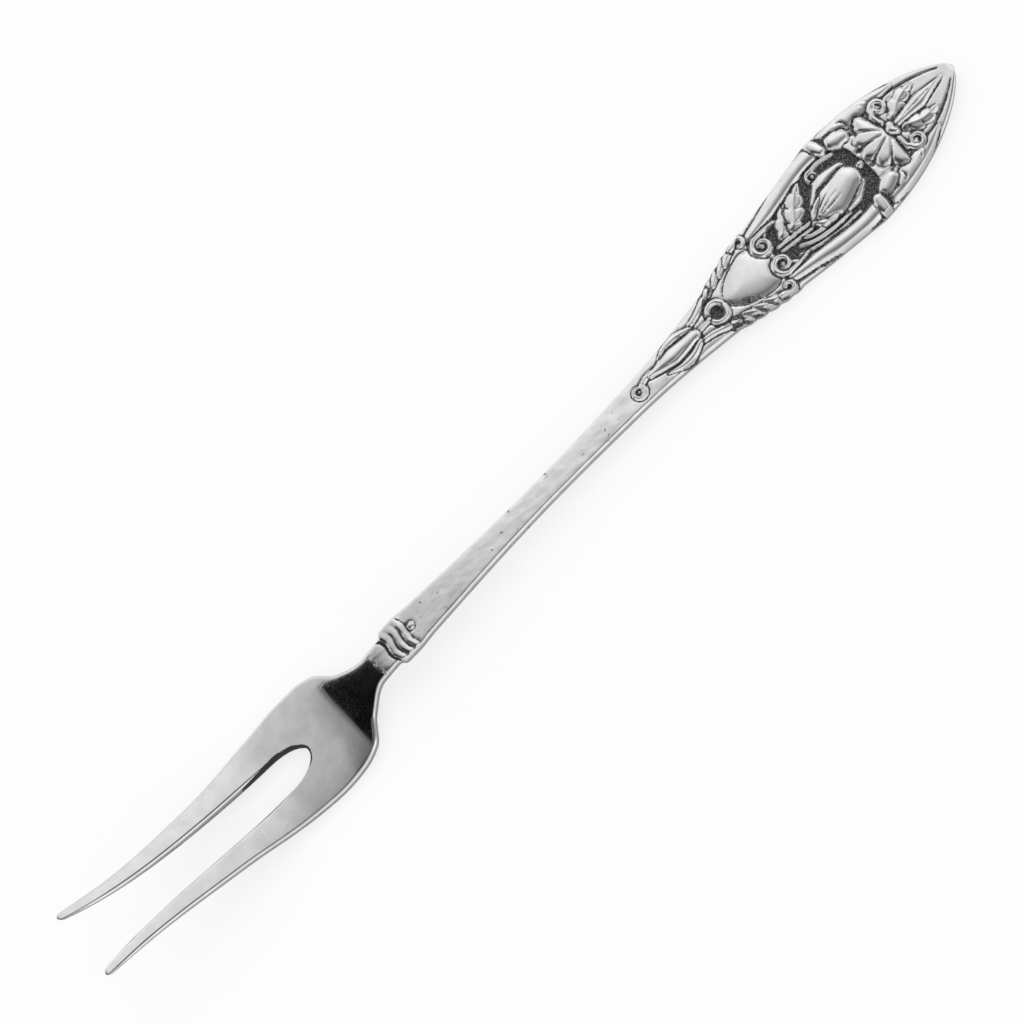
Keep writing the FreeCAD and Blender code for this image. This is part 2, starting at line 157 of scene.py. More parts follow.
# The pattern is drawn on a flat die, and stretched to fit the handle
DIE_LENGTH = 58.0
DIE_HALF_WIDTH = 7.25
DIE_STRETCH = TAIL / DIE_LENGTH

# The relief's grid and the lines round its strokes
RELIEF_STEP = 0.06
RELIEF_MARGIN = 2.0
ROOT_DEPTH = 0.3
GROUND_DEPTH = 0.42
SUNK = -GROUND_DEPTH - 0.5 * ROOT_DEPTH
HALO = 0.3
MOAT = 0.12
MOAT_OXIDE = 0.8
EDGE_OXIDE = 0.5
EDGE_BAND = 0.2
LEAF_STEM = 0.12
VEIN_SLANT = 0.16

# How far wear softens the carving, and how deep a hollow is where oxide gathers
WORN_SPREAD = 0.09
HOLLOW_SPREAD = 0.3
HOLLOW_START = 0.02
HOLLOW_RANGE = 0.12
OXIDE_SPREAD = 0.05

# The camera's sensor, in millimetres, and the studio, in metres
SENSOR_WIDTH = 36.0
FLOOR_SIZE = 12.0
LAMP_PLACE = (0.15, 0.35, 0.7)
LAMP_SIZE = 0.6


def smooth_step(value):
    """Return values eased from 0 to 1."""
    value = np.clip(value, 0.0, 1.0)
    return value * value * (3.0 - 2.0 * value)


def between(first, last, share):
    """Return the value that lies at a share of the way from one value to another."""
    return first + share * (last - first)


def smooth_through(points):
    """Return a function through (station, value) points with no overshoot between them."""
    places, values = (np.array(column, float) for column in zip(*points))
    steps = np.diff(places)
    slopes = np.diff(values) / steps
    product = slopes[:-1] * slopes[1:]
    level = product <= 0.0
    total = np.where(level, 1.0, slopes[:-1] + slopes[1:])
    inner = np.where(level, 0.0, 2.0 * product / total)
    tangents = np.concatenate([slopes[:1], inner, slopes[-1:]])

    def value(station):
        station = np.clip(station, places[0], places[-1])
        index = np.clip(np.searchsorted(places, station, side="right") - 1, 0, len(steps) - 1)
        t = (station - places[index]) / steps[index]
        lift = tangents[index] * t * (1.0 - t) ** 2 - tangents[index + 1] * t * t * (1.0 - t)
        blend = t * t * (3.0 - 2.0 * t)
        return values[index] + (values[index + 1] - values[index]) * blend + lift * steps[index]

    return value


class ForkForm:
    """The fork's outline, heights and thicknesses as functions of the station."""

    def __init__(self, sizes):
        handle = sizes.handle_half / MM
        bowl = sizes.bowl_half / MM
        shank = sizes.shank_half / MM
        collar = sizes.collar_half / MM
        collar_rise = sizes.collar_rise / MM
        tine_rise = sizes.tine_rise / MM
        self.handle_half = handle
        self.slot_half = sizes.slot_half / MM
        self.below_widest = smooth_through([
            (WIDEST, handle),
            (CURLS, CURLS_HALF),
            (ROOT, ROOT_HALF),
            (TAIL, TAIL_HALF),
            (between(TAIL, COLLAR_TOP, 0.4), shank),
            (COLLAR_TOP, 0.9 * collar),
            (between(COLLAR_TOP, COLLAR_END, 0.5), collar),
            (between(COLLAR_TOP, COLLAR_END, 0.85), 0.98 * collar),
            (COLLAR_END, NECK_HALF),
            (NECK, NECK_HALF),
            (between(NECK, BOWL, 0.3), 0.5 * bowl),
            (between(NECK, BOWL, 0.52), 0.87 * bowl),
            (between(NECK, BOWL, 0.76), 0.98 * bowl),
            (BOWL, bowl),
            (between(BOWL, TINES, 0.35), 0.94 * bowl),
            (TINES, TINE_OUTER_HALF),
            (between(TINES, LENGTH, 0.6), TINE_CURVE_HALF),
            (LENGTH, TINE_TIP_OUTER_HALF),
        ])
        self.middle = smooth_through([
            (0.0, HANDLE_REST + HANDLE_TIP_RISE),
            (0.9 * WIDEST, HANDLE_REST),
            (0.5 * (WIDEST + CURLS), HANDLE_REST),
            (ROOT, HANDLE_REST + 0.17 * collar_rise),
            (TAIL, HANDLE_REST + 0.41 * collar_rise),
            (COLLAR_TOP, HANDLE_REST + 0.96 * collar_rise),
            (between(COLLAR_TOP, COLLAR_END, 0.6), HANDLE_REST + collar_rise),
            (COLLAR_END, HANDLE_REST + 0.98 * collar_rise),
            (NECK, HANDLE_REST + 0.86 * collar_rise),
            (between(NECK, BOWL, 0.3), HEAD_REST + 0.4 * collar_rise),
            (between(NECK, BOWL, 0.55), HEAD_REST + 0.15 * collar_rise),
            (BOWL, HEAD_REST),
            (between(BOWL, TINES, 0.25), HEAD_REST + 0.012 * tine_rise),
            (between(BOWL, TINES, 0.55), HEAD_REST + 0.075 * tine_rise),
            (TINES, HEAD_REST + 0.25 * tine_rise),
            (between(TINES, LENGTH, 0.5), HEAD_REST + 0.58 * tine_rise),
            (LENGTH, HEAD_REST + tine_rise),
        ])
        self.thickness = smooth_through([
            (0.0, 0.75 * HANDLE_EDGE),
            (WIDEST, HANDLE_EDGE),
            (CURLS, HANDLE_EDGE),
            (TAIL, SHANK_THICKNESS),
            (COLLAR_END, SHANK_THICKNESS),
            (BOWL, HEAD_THICKNESS),
            (TINES, HEAD_THICKNESS),
            (LENGTH, TINE_TIP_THICKNESS),
        ])
        self.crown = smooth_through([
            (0.0, 0.0),
            (WIDEST, HANDLE_CROWN),
            (ROOT, 0.3),
            (TAIL, 0.08),
            (COLLAR_TOP, 0.06),
            (between(NECK, BOWL, 0.3), 0.06),
            (between(NECK, BOWL, 0.52), 0.16),
            (BOWL, 0.22),
            (TINES, 0.04),
            (LENGTH, 0.0),
        ])

    def half_width(self, station):
        """Return half the fork's width, with the bumps of its carved outline."""
        along = (np.clip(station, 0.0, WIDEST) / WIDEST) ** TIP_FULLNESS
        tip = np.maximum(HANDLE_TIP_HALF, self.handle_half * np.sin(math.pi / 2 * along))
        half = np.where(station < WIDEST, tip, self.below_widest(station))
        share = np.clip((station - CURLS) / (ROOT - CURLS), 0.0, 1.0)
        swell = np.sqrt(np.clip(np.sin(math.pi * share), 0.0, 1.0))
        scallop = np.abs(np.sin(math.pi * (station - CURLS) / CURL_PITCH))
        return half + CURL_PROUD * swell * (0.6 + 0.4 * scallop)

    def slot_side(self, count_nose, count_side):
        """Return points down one side of the gap between the tines, from its nose."""
        angle = np.linspace(0.0, math.pi / 2, count_nose + 1)
        nose = np.stack([
            SLOT_START + (SLOT_NOSE_END - SLOT_START) * (1.0 - np.cos(angle)),
            self.slot_half * np.sin(angle),
        ], axis=1)
        share = np.linspace(0.0, 1.0, count_side + 1)[1:]
        flare = (TINE_TIP_SLOT_HALF - self.slot_half) * share ** SLOT_FLARE_SHARPNESS
        side = np.stack([
            SLOT_NOSE_END + (LENGTH - SLOT_NOSE_END) * share,
            self.slot_half + flare,
        ], axis=1)
        return np.concatenate([nose, side])


def smooth_path(points, closed=False, per_span=6):
    """Return points on a smooth curve through the given ones."""
    points = np.array(points, float)
    if closed:
        around = np.concatenate([points[-1:], points, points[:2]])
    else:
        around = np.concatenate([points[:1], points, points[-1:]])
    t = (np.arange(per_span) / per_span)[:, None]
    path = []
    for p0, p1, p2, p3 in zip(around, around[1:], around[2:], around[3:]):
        path.append(
            p1
            + 0.5 * t * (p2 - p0)
            + t * t * (p0 - 2.5 * p1 + 2.0 * p2 - 0.5 * p3)
            + t ** 3 * (1.5 * p1 - 0.5 * p0 - 1.5 * p2 + 0.5 * p3)
        )
    if not closed:
        path.append(points[-1:])
    return np.concatenate(path)


def spiral(centre, outer, inner, start, turns, hand=1.0):
    """Return points on a spiral that winds in round a centre. Angles are in degrees."""
    share = np.linspace(0.0, 1.0, int(10 * turns) + 1)
    radius = outer + (inner - outer) * share
    angle = np.radians(start + hand * 360.0 * turns * share)
    return [
        (centre[0] + r * math.cos(a), centre[1] + r * math.sin(a)) for r, a in zip(radius, angle)
    ]


def mirrored(points):
    """Return the same points on the fork's near side."""
    return [(along, -across) for along, across in points]


def from_line(along, across, start, end):
    """Return how far places lie from a straight line, and the share along it that is nearest."""
    da, db = end - start
    share = ((along - start[0]) * da + (across - start[1]) * db) / np.hypot(da, db) ** 2
    share = np.clip(share, 0.0, 1.0)
    return np.hypot(along - start[0] - share * da, across - start[1] - share * db), share


def blurred(field, spread):
    """Return a grid softened by a bell of the given spread, in millimetres."""
    reach = int(3.0 * spread / RELIEF_STEP) + 1
    weights = np.exp(-0.5 * (np.arange(-reach, reach + 1) * RELIEF_STEP / spread) ** 2)
    weights /= weights.sum()
    for axis in (0, 1):
        padding = [(reach, reach) if axis == other else (0, 0) for other in (0, 1)]
        padded = np.pad(field, padding, mode="edge")
        size = field.shape[axis]
        field = sum(
            weight * np.take(padded, np.arange(index, index + size), axis=axis)
            for index, weight in enumerate(weights)
        )
    return field


class Relief:
    """Heights over the plain front, and how dark the oxide lies, on a fine grid."""

    def __init__(self, last_station, widen):
        half = DIE_HALF_WIDTH + HALO
        self.widen = widen
        self.along = np.arange(0.0, last_station / DIE_STRETCH, RELIEF_STEP)
        self.across = np.arange(-half, half + RELIEF_STEP, RELIEF_STEP)
        shape = (len(self.along), len(self.across))
        self.height = np.zeros(shape)
        self.dark = np.zeros(shape)

    def window(self, points, reach):
        """Return the part of the grid round some points, and its places."""
        low = points.min(axis=0) - reach
        high = points.max(axis=0) + reach
        area = (
            slice(*np.searchsorted(self.along, (low[0], high[0]))),
            slice(*np.searchsorted(self.across, (low[1], high[1]))),
        )
        a, b = np.meshgrid(self.along[area[0]], self.across[area[1]], indexing="ij")
        return area, a, b

    def near_path(self, path, reach):
        """Return a window with each place's distance from a path and its share along it."""
        area, a, b = self.window(path, reach)
        runs = np.hypot(*np.diff(path, axis=0).T)
        before = np.concatenate([[0.0], np.cumsum(runs)])
        distance = np.full(a.shape, np.inf)
        share = np.zeros(a.shape)
        for start, end, run, gone in zip(path, path[1:], runs, before):
            if run == 0.0:
                continue
            here, t = from_line(a, b, start, end)
            nearer = here < distance
            distance = np.where(nearer, here, distance)
            share = np.where(nearer, (gone + t * run) / before[-1], share)
        return area, distance, share

    def lay(self, area, body, crest, gap, moat=MOAT):
        """Lay a raised form on the grid: body is above 0 inside it, gap the distance outside."""
        outside = np.clip(gap / HALO, 0.0, 1.0)
        level = self.height[area] - moat * (1.0 - outside) ** 2
        on_top = (body > 0.0) & (crest >= level)
        self.height[area] = np.where(on_top, crest, level)
        edge = EDGE_OXIDE * np.clip((EDGE_BAND - body) / EDGE_BAND, 0.0, 1.0)
        around = np.maximum(self.dark[area], MOAT_OXIDE * (1.0 - outside))
        self.dark[area] = np.where(on_top, edge, around)

    def stroke(self, points, radii, top, root=-ROOT_DEPTH, fullness=0.65, moat=MOAT):
        """Lay a rounded stroke along a path."""
        path = smooth_path(points)
        area, distance, share = self.near_path(path, max(radii) + HALO)
        radius = np.interp(share, (0.0, 0.5, 1.0), radii)
        body = np.clip(1.0 - (distance / radius) ** 2, 0.0, 1.0)
        crest = root + (top - root) * body ** fullness
        self.lay(area, body, crest, np.maximum(0.0, distance - radius), moat)

    def pair(self, points, *sizes, **named_sizes):
        """Lay one stroke on each side of the fork."""
        self.stroke(points, *sizes, **named_sizes)
        self.stroke(mirrored(points), *sizes, **named_sizes)

    def dot(self, centre, radius, *heights):
        """Lay a round bead."""
        beside = (centre[0] + 0.01, centre[1])
        self.stroke([centre, beside], (radius, radius, radius), *heights)

    def leaf(self, points, width, top, lobes, root=-ROOT_DEPTH):
        """Lay a lobed leaf from its stem to its point, with a midrib and slanted veins."""
        path = smooth_path(points)
        area, distance, share = self.near_path(path, width + HALO)
        envelope = np.sin(math.pi * between(LEAF_STEM, 1.0, share) ** 0.8) ** 0.7
        envelope = np.maximum(envelope, 0.02)
        slanted = lobes * (share - VEIN_SLANT * np.clip(distance / (width * envelope), 0.0, 1.5))
        lobe = 0.66 + 0.34 * np.abs(np.sin(math.pi * slanted)) ** 0.6
        radius = width * envelope * lobe
        out = distance / radius
        body = np.clip(1.0 - out ** 2, 0.0, 1.0)
        vein = np.clip(np.abs(np.sin(math.pi * slanted)) * 3.0, 0.0, 1.0)
        vein = 1.0 - (1.0 - vein) * np.clip(4.0 * out - 0.8, 0.0, 1.0)
        rib = np.clip(1.0 - (distance / (0.12 * width + 0.06)) ** 2, 0.0, 1.0)
        crest = root + (top - root) * (body ** 0.4 * (0.72 + 0.28 * vein) + 0.16 * rib)
        self.lay(area, body, crest, np.maximum(0.0, distance - radius))
        shade = np.where(body > 0.0, 0.6 * (1.0 - vein), 0.0)
        self.dark[area] = np.maximum(self.dark[area], shade)

    def groove(self, points, radii, depth, tone=1.0):
        """Cut a rounded groove along a path, darkened with oxide."""
        path = smooth_path(points)
        area, distance, share = self.near_path(path, max(radii))
        radius = np.interp(share, (0.0, 0.5, 1.0), radii)
        body = np.clip(1.0 - (distance / radius) ** 2, 0.0, 1.0)
        self.height[area] -= depth * body
        self.dark[area] = np.maximum(self.dark[area], tone * body ** 0.5)

    def grooves(self, points, *sizes):
        """Cut one groove on each side of the fork."""
        self.groove(points, *sizes)
        self.groove(mirrored(points), *sizes)

    def inside(self, outline):
        """Return a window with the distance from an outline, above 0 inside it."""
        loop = smooth_path(outline, closed=True)
        loop = np.concatenate([loop, loop[:1]])
        reach = 1.0
        area, distance, _ = self.near_path(loop, reach)
        _, a, b = self.window(loop, reach)
        crossed = np.zeros(a.shape, bool)
        for start, end in zip(loop, loop[1:]):
            if start[1] == end[1]:
                continue
            spans = (start[1] > b) != (end[1] > b)
            edge = start[0] + (b - start[1]) / (end[1] - start[1]) * (end[0] - start[0])
            crossed ^= spans & (a < edge)
        return area, np.where(crossed, distance, -distance)

    def sink(self, outline, depth, wall=0.2):
        """Sink a field below the front, with oxide on its floor."""
        area, distance = self.inside(outline)
        share = smooth_step(distance / wall)
        self.height[area] = self.height[area] * (1.0 - share) - depth * share
        self.dark[area] = np.maximum(self.dark[area], smooth_step(distance / 0.1 + 0.8))

    def dome(self, outline, top, shoulder):
        """Raise a smooth dome inside an outline."""
        area, distance = self.inside(outline)
        share = np.clip(distance / shoulder, 0.0, 1.0)
        body = np.where(distance > 0.0, 1.0 - (1.0 - share) ** 2, 0.0)
        crest = -ROOT_DEPTH + (top + ROOT_DEPTH) * blurred(body ** 0.5, 0.2)
        self.lay(area, body, crest, np.maximum(0.0, -distance))

    def settle(self):
        """Soften the carving as if worn, and let oxide gather in its hollows."""
        self.height = blurred(self.height, WORN_SPREAD)
        hollow = blurred(self.height, HOLLOW_SPREAD) - self.height
        gathered = smooth_step((hollow - HOLLOW_START) / HOLLOW_RANGE)
        self.dark = np.maximum(blurred(self.dark, OXIDE_SPREAD), gathered)

    def sample(self, field, station, across):
        """Return a grid's values at places of the fork."""
        row = np.clip(station / DIE_STRETCH / RELIEF_STEP, 0.0, len(self.along) - 1.001)
        column = (across / self.widen - self.across[0]) / RELIEF_STEP
        column = np.clip(column, 0.0, len(self.across) - 1.001)
        i, j = row.astype(int), column.astype(int)
        u, v = row - i, column - j
        near = field[i, j] * (1.0 - v) + field[i, j + 1] * v
        far = field[i + 1, j] * (1.0 - v) + field[i + 1, j + 1] * v
        return near * (1.0 - u) + far * u


def carve_ground(relief):
    """Sink the dark ground that the bud and the leaves stand on."""
    side = [
        (16.6, 2.6), (18.0, 4.4), (20.8, 5.0), (24.6, 4.6), (28.2, 3.9), (31.0, 2.8), (32.4, 0.9),
    ]
    relief.sink(side + mirrored(side)[::-1], GROUND_DEPTH)


def carve_rims(relief):
    """The tubular rims along the edges, each with a ring, and the volutes inside them."""
    relief.pair(
        [(19.0, 5.75), (22.0, 5.9), (25.5, 5.5), (29.0, 4.7), (33.2, 3.95)],
        (1.25, 1.3, 0.8), 0.36, SUNK,
    )
    relief.pair(
        [(29.4, 3.1), (31.2, 3.25), (32.6, 3.2)] + spiral((32.7, 1.8), 1.42, 0.55, 75.0, 1.1, -1.0),
        (0.2, 0.6, 0.36), 0.42, SUNK,
    )
    for hand in (1.0, -1.0):
        relief.dot((32.7, 1.8 * hand), 0.42, 0.38, SUNK)
    relief.pair([(18.9, 5.0), (19.3, 6.8)], (0.8, 0.95, 0.8), 0.54, SUNK, fullness=0.3)


def carve_tip(relief, form):
    """The plain border at the tip and the leaves inside it, with a curl at each side."""
    stations = np.array([1.6, 3.2, 5.2, 7.4, 9.0])
    halves = form.half_width(stations * DIE_STRETCH) / relief.widen
    inside = np.array([0.75, 0.95, 1.15, 1.35, 1.7])
    relief.grooves(list(zip(stations, halves - inside)), (0.1, 0.24, 0.1), 0.2, 0.9)
    relief.pair(
        [(11.4, 1.5), (11.5, 2.9)] + spiral((10.1, 3.3), 1.1, 0.4, 0.0, 1.2, 1.0),
        (0.5, 0.48, 0.28), 0.42,
    )
    for hand in (1.0, -1.0):
        relief.dot((10.1, 3.3 * hand), 0.3, 0.34)
        line = [(9.6, 1.0 * hand), (7.6, 2.1 * hand), (5.0, 2.3 * hand)]
        relief.leaf(line, 1.3, 0.36, 3.0)
    relief.stroke([(10.2, 0.0), (6.6, 0.0), (2.2, 0.0)], (0.6, 1.1, 0.15), 0.52, fullness=0.5)
    relief.groove([(9.2, 0.0), (6.4, 0.0), (3.4, 0.0)], (0.06, 0.16, 0.06), 0.12, 0.6)


def carve_shell(relief):
    """The fluted shell over the ground, its hinge and the bead that hangs from it."""
    relief.dot((17.0, 0.0), 0.6, 0.2, SUNK)
    half_pitch = 15.0
    fan = []
    for step in range(-5, 6):
        angle = math.radians(half_pitch * step)
        radius = 5.1 if step % 2 == 0 else 4.55
        fan.append((11.2 + radius * math.cos(angle), radius * math.sin(angle)))
    relief.dome(fan + [(11.2, -0.9), (10.7, 0.0), (11.2, 0.9)], 0.5, 1.3)
    for step in range(-3, 4, 2):
        angle = math.radians(half_pitch * step)
        line = [
            (11.2 + radius * math.cos(angle), radius * math.sin(angle))
            for radius in (1.3, 3.2, 5.0)
        ]
        relief.groove(line, (0.1, 0.2, 0.42), 0.22, 0.7)
    relief.stroke([(10.9, -0.6), (11.2, 0.0), (10.9, 0.6)], (0.6, 0.75, 0.6), 0.6)


def carve_clouds(relief):
    """The smooth rounded masses that run up both sides of the shell to the border."""
    relief.pair([(13.6, 4.1), (11.4, 4.4), (9.2, 4.3)], (0.8, 0.8, 0.3), 0.3)
    relief.pair([(17.2, 5.8), (14.4, 5.7), (11.0, 5.2), (7.2, 4.2)], (1.3, 1.5, 0.4), 0.42)
    relief.pair([(15.8, 4.3), (17.2, 4.8)], (1.1, 1.35, 1.15), 0.5)
    crescent = [(15.1, 6.0), (14.4, 5.6), (14.3, 4.6)]
    relief.grooves(crescent, (0.06, 0.26, 0.1), 0.16, 0.85)
    for inward in (0.0, 0.7):
        line = [(11.9 - inward, 5.6), (11.2 - inward, 5.1), (11.3 - inward, 4.4)]
        relief.grooves(line, (0.05, 0.15, 0.05), 0.1, 0.7)


def carve_bud(relief):
    """The plump bud on two stems in the middle of the sunk ground."""
    for offset in (0.0, 0.8):
        relief.stroke(
            [(25.6, offset - 1.5), (28.4, offset - 1.0), (31.6, offset - 0.5)],
            (0.24, 0.26, 0.26), 0.04, SUNK,
        )
    relief.stroke([(18.4, -1.7), (20.4, -2.6), (22.6, -3.0)], (0.6, 0.9, 0.4), 0.24, SUNK)
    relief.stroke([(18.9, 1.7), (21.6, 1.9), (25.2, 0.4)], (0.9, 1.4, 0.5), 0.36, SUNK)
    relief.stroke([(19.4, -0.2), (22.0, -0.7), (26.2, -1.2)], (1.9, 2.4, 0.6), 0.55, SUNK, 0.45)
    for offset in (-1.1, -0.3, 0.6):
        relief.groove(
            [(21.4, offset), (23.2, 0.8 * offset - 0.3), (25.4, 0.3 * offset - 0.9)],
            (0.06, 0.14, 0.2), 0.12, 0.8,
        )
    for hand in (1.0, -1.0):
        line = [(26.4, -1.1), (25.2, -1.1 + 1.1 * hand), (23.4, -0.9 + 1.7 * hand)]
        relief.leaf(line, 0.55, 0.3, 2.0, SUNK)


def carve_leaves(relief):
    """The long reeded leaf on the near side, and the leaves and tendril on the far side."""
    for reed in range(3):
        inward = 0.85 * reed
        line = [
            (30.4 - inward, inward - 2.6),
            (27.6, inward - 3.6),
            (24.8, inward - 4.2),
            (21.4 + inward, inward - 4.3),
        ]
        relief.stroke(line, (0.3, 0.42, 0.22), 0.12, SUNK)
    relief.stroke(
        [(18.2, 3.7), (20.2, 4.3)] + spiral((22.0, 3.4), 0.95, 0.4, 120.0, 1.1, -1.0),
        (0.3, 0.38, 0.28), 0.16, SUNK,
    )
    relief.dot((22.0, 3.4), 0.3, 0.16, SUNK)
    relief.leaf([(29.9, 0.9), (28.4, 2.4), (26.7, 3.8)], 1.3, 0.2, 2.5, SUNK)
    relief.leaf([(28.2, 0.6), (26.0, 2.9), (23.7, 4.3)], 1.5, 0.26, 3.0, SUNK)


def carve_bell(relief):
    """The broad plain bell between the curls."""
    side = [(33.8, 2.6), (35.3, 3.4), (37.2, 3.1), (39.2, 2.3), (40.6, 1.2)]
    relief.dome(side + [(41.1, 0.0)] + mirrored(side)[::-1] + [(33.2, 0.0)], 0.4, 3.2)
    # Painted shade: a wide groove only 0.03 mm deep lays dark oxide on the bell's near side only
    relief.groove([(37.6, -2.6), (39.0, -1.9), (40.4, -0.9)], (0.3, 0.75, 0.4), 0.03, 0.6)


def carve_curls(relief):
    """The rope of curls that swells each shoulder below the widest part."""
    for index in range(5):
        along = 41.6 - 1.45 * index
        across = 3.0 + 0.42 * index
        relief.pair(
            [(along - 1.4, across + 1.0), (along, across + 0.3), (along + 2.0, across - 1.2)],
            (0.42, 0.86, 0.24), 0.48,
        )
    relief.pair([(35.8, 4.7)] + spiral((34.4, 4.4), 0.9, 0.4, 30.0, 0.8, 1.0), (0.6, 0.5, 0.3), 0.46)


def carve_eye(relief):
    """The ring round the sunk oval, and the straps that run down from it."""
    relief.pair([(41.6, 3.0), (43.2, 2.35), (45.0, 1.65), (47.4, 1.2)], (0.5, 0.5, 0.42), 0.36)
    relief.pair(
        [(41.4, 0.1), (41.8, 1.1), (42.7, 1.4), (43.6, 1.0), (44.0, 0.1)], (0.42, 0.5, 0.42), 0.4
    )
    relief.stroke([(44.0, 0.0), (47.6, 0.0)], (0.36, 0.42, 0.42), 0.34)
    side = [(42.1, 0.6), (42.7, 0.85), (43.3, 0.6)]
    relief.sink([(41.9, 0.0)] + side + [(43.5, 0.0)] + mirrored(side)[::-1], ROOT_DEPTH, 0.15)


def carve_calyx(relief):
    """The leaf calyx below the straps, with its curled tail."""
    relief.stroke(
        [(52.8, 0.4), (54.4, 0.7), (55.6, 0.5)] + spiral((56.7, 0.0), 0.95, 0.42, 160.0, 1.25, 1.0),
        (0.5, 0.42, 0.26), 0.4,
    )
    relief.dot((56.7, 0.0), 0.26, 0.34)
    relief.pair([(46.8, 1.1), (48.6, 1.75), (50.4, 1.75), (52.4, 1.1)], (0.5, 0.7, 0.14), 0.36)
    relief.stroke([(46.8, 0.0), (49.6, 0.05), (54.2, 0.4)], (0.9, 1.3, 0.42), 0.54, fullness=0.5)
    relief.groove([(48.6, -0.3), (50.6, -0.35), (52.8, 0.1)], (0.05, 0.12, 0.05), 0.07, 0.4)


def carve_collar(relief, form):
    """The wavy ridges of the collar, which merge on the far side, with a bead over them."""
    shares = np.linspace(-1.0, 1.0, 13)
    wave = 0.35 * shares - 0.3 * np.sin(math.pi * shares)

    def across_collar(station):
        half = float(form.half_width(np.array(station)))
        return np.stack([(station + wave) / DIE_STRETCH, half * shares / relief.widen], axis=1)

    for station, radius, far_radius in ((100.05, 0.5, 1.0), (101.2, 0.6, 1.2), (102.35, 0.72, 0.9)):
        radii = (radius, radius, far_radius)
        relief.stroke(across_collar(station), radii, 0.26, -0.05, moat=0.0)
    # The ridges are rubbed bright, so that only the grooves between them hold oxide
    relief.dark[relief.along > COLLAR_TOP / DIE_STRETCH] = 0.0
    for station, first, last, radii, tone in (
        (99.45, 1, 12, (0.16, 0.2, 0.14), 0.8),
        (100.6, 1, 10, (0.24, 0.26, 0.06), 0.8),
        (101.75, 1, 10, (0.26, 0.18, 0.06), 0.7),
        (103.1, 0, 13, (0.2, 0.28, 0.34), 1.0),
    ):
        relief.groove(across_collar(station)[first:last], radii, 0.12, tone)
    relief.dot((98.85 / DIE_STRETCH, 0.1), 0.62, 0.3)


def carved_relief(form):
    """Return the whole pattern, drawn from its lowest forms to its highest."""
    relief = Relief(COLLAR_END + RELIEF_MARGIN, form.handle_half / DIE_HALF_WIDTH)
    carve_ground(relief)
    carve_leaves(relief)
    carve_bud(relief)
    carve_clouds(relief)
    carve_bell(relief)
    carve_rims(relief)
    carve_tip(relief, form)
    carve_shell(relief)
    carve_curls(relief)
    carve_eye(relief)
    carve_calyx(relief)
    carve_collar(relief, form)
    relief.settle()
    return relief


def rows_after(start, end, count):
    """Return the stations of so many even rows after a start, the last of them at the end."""
    return np.linspace(start, end, count + 1)[1:]


def row_ends(form):
    """Return each row's inner and outer end, and the first row that the slot parts."""
    quarter = np.linspace(0.0, math.pi / 2, DOME_ROWS + 1)
    whole = np.concatenate([
        TIP_DOME * (1.0 - np.cos(quarter)),
        rows_after(TIP_DOME, TAIL, HANDLE_ROWS),
        rows_after(TAIL, COLLAR_TOP - COLLAR_MARGIN, SHANK_ROWS),
        rows_after(COLLAR_TOP - COLLAR_MARGIN, COLLAR_END + COLLAR_MARGIN, COLLAR_ROWS),
        rows_after(COLLAR_END + COLLAR_MARGIN, SLOT_START - BRINK, NECK_ROWS),
        rows_after(SLOT_START - BRINK, SLOT_START, BRINK_ROWS)[:-1],
    ])
    parted = form.slot_side(NOSE_ROWS, SLOT_SIDE_POINTS)
    side = parted[NOSE_ROWS:]
    ends = LENGTH - TIP_DOME * (1.0 - np.sin(quarter))
    stations = np.concatenate([
        rows_after(SLOT_NOSE_END, LENGTH - TIP_DOME, TINE_ROWS),
        ends[1:],
    ])
    inner = np.concatenate([
        np.stack([whole, np.zeros(len(whole))], axis=1),
        parted[:NOSE_ROWS + 1],
        np.stack([stations, np.interp(stations, side[:, 0], side[:, 1])], axis=1),
    ])
    # Round the slot the rows' outer ends lag behind, so that the rows fan out from its nose
    lag = smooth_through([(NECK, 0.0), (SLOT_START, BRINK), (SLOT_NOSE_END, 0.9), (LENGTH, 0.0)])
    order = inner[:, 0].copy()
    nose = slice(len(whole), len(whole) + NOSE_ROWS + 1)
    order[nose] = np.linspace(SLOT_START, SLOT_NOSE_END, NOSE_ROWS + 1)
    outer_station = np.where(order > NECK, order - lag(order), order)
    outer = np.stack([outer_station, form.half_width(outer_station)], axis=1)
    return inner, outer, len(whole)


def left_to_edge(gap, width):
    """Return the share of a shoulder's width that lies further in than a gap from its edge."""
    return 1.0 - np.clip(gap / np.maximum(width, 1e-6), 0.0, 1.0)


def rounded(gap, width):
    """Return how far a round shoulder has fallen at a gap from its edge, from 0 to 1."""
    return 1.0 - np.sqrt(np.clip(1.0 - left_to_edge(gap, width) ** 2, 0.0, 1.0))


def bevelled(gap, width):
    """Return how far a soft facet and a steep one have fallen at a gap from the edge."""
    left = left_to_edge(gap, width)
    steep = STEEP_TO_SOFT * (left - SOFT_BEVEL_SHARE)
    whole = SOFT_BEVEL_SHARE + STEEP_TO_SOFT * (1.0 - SOFT_BEVEL_SHARE)
    return np.where(left < SOFT_BEVEL_SHARE, left, SOFT_BEVEL_SHARE + steep) / whole


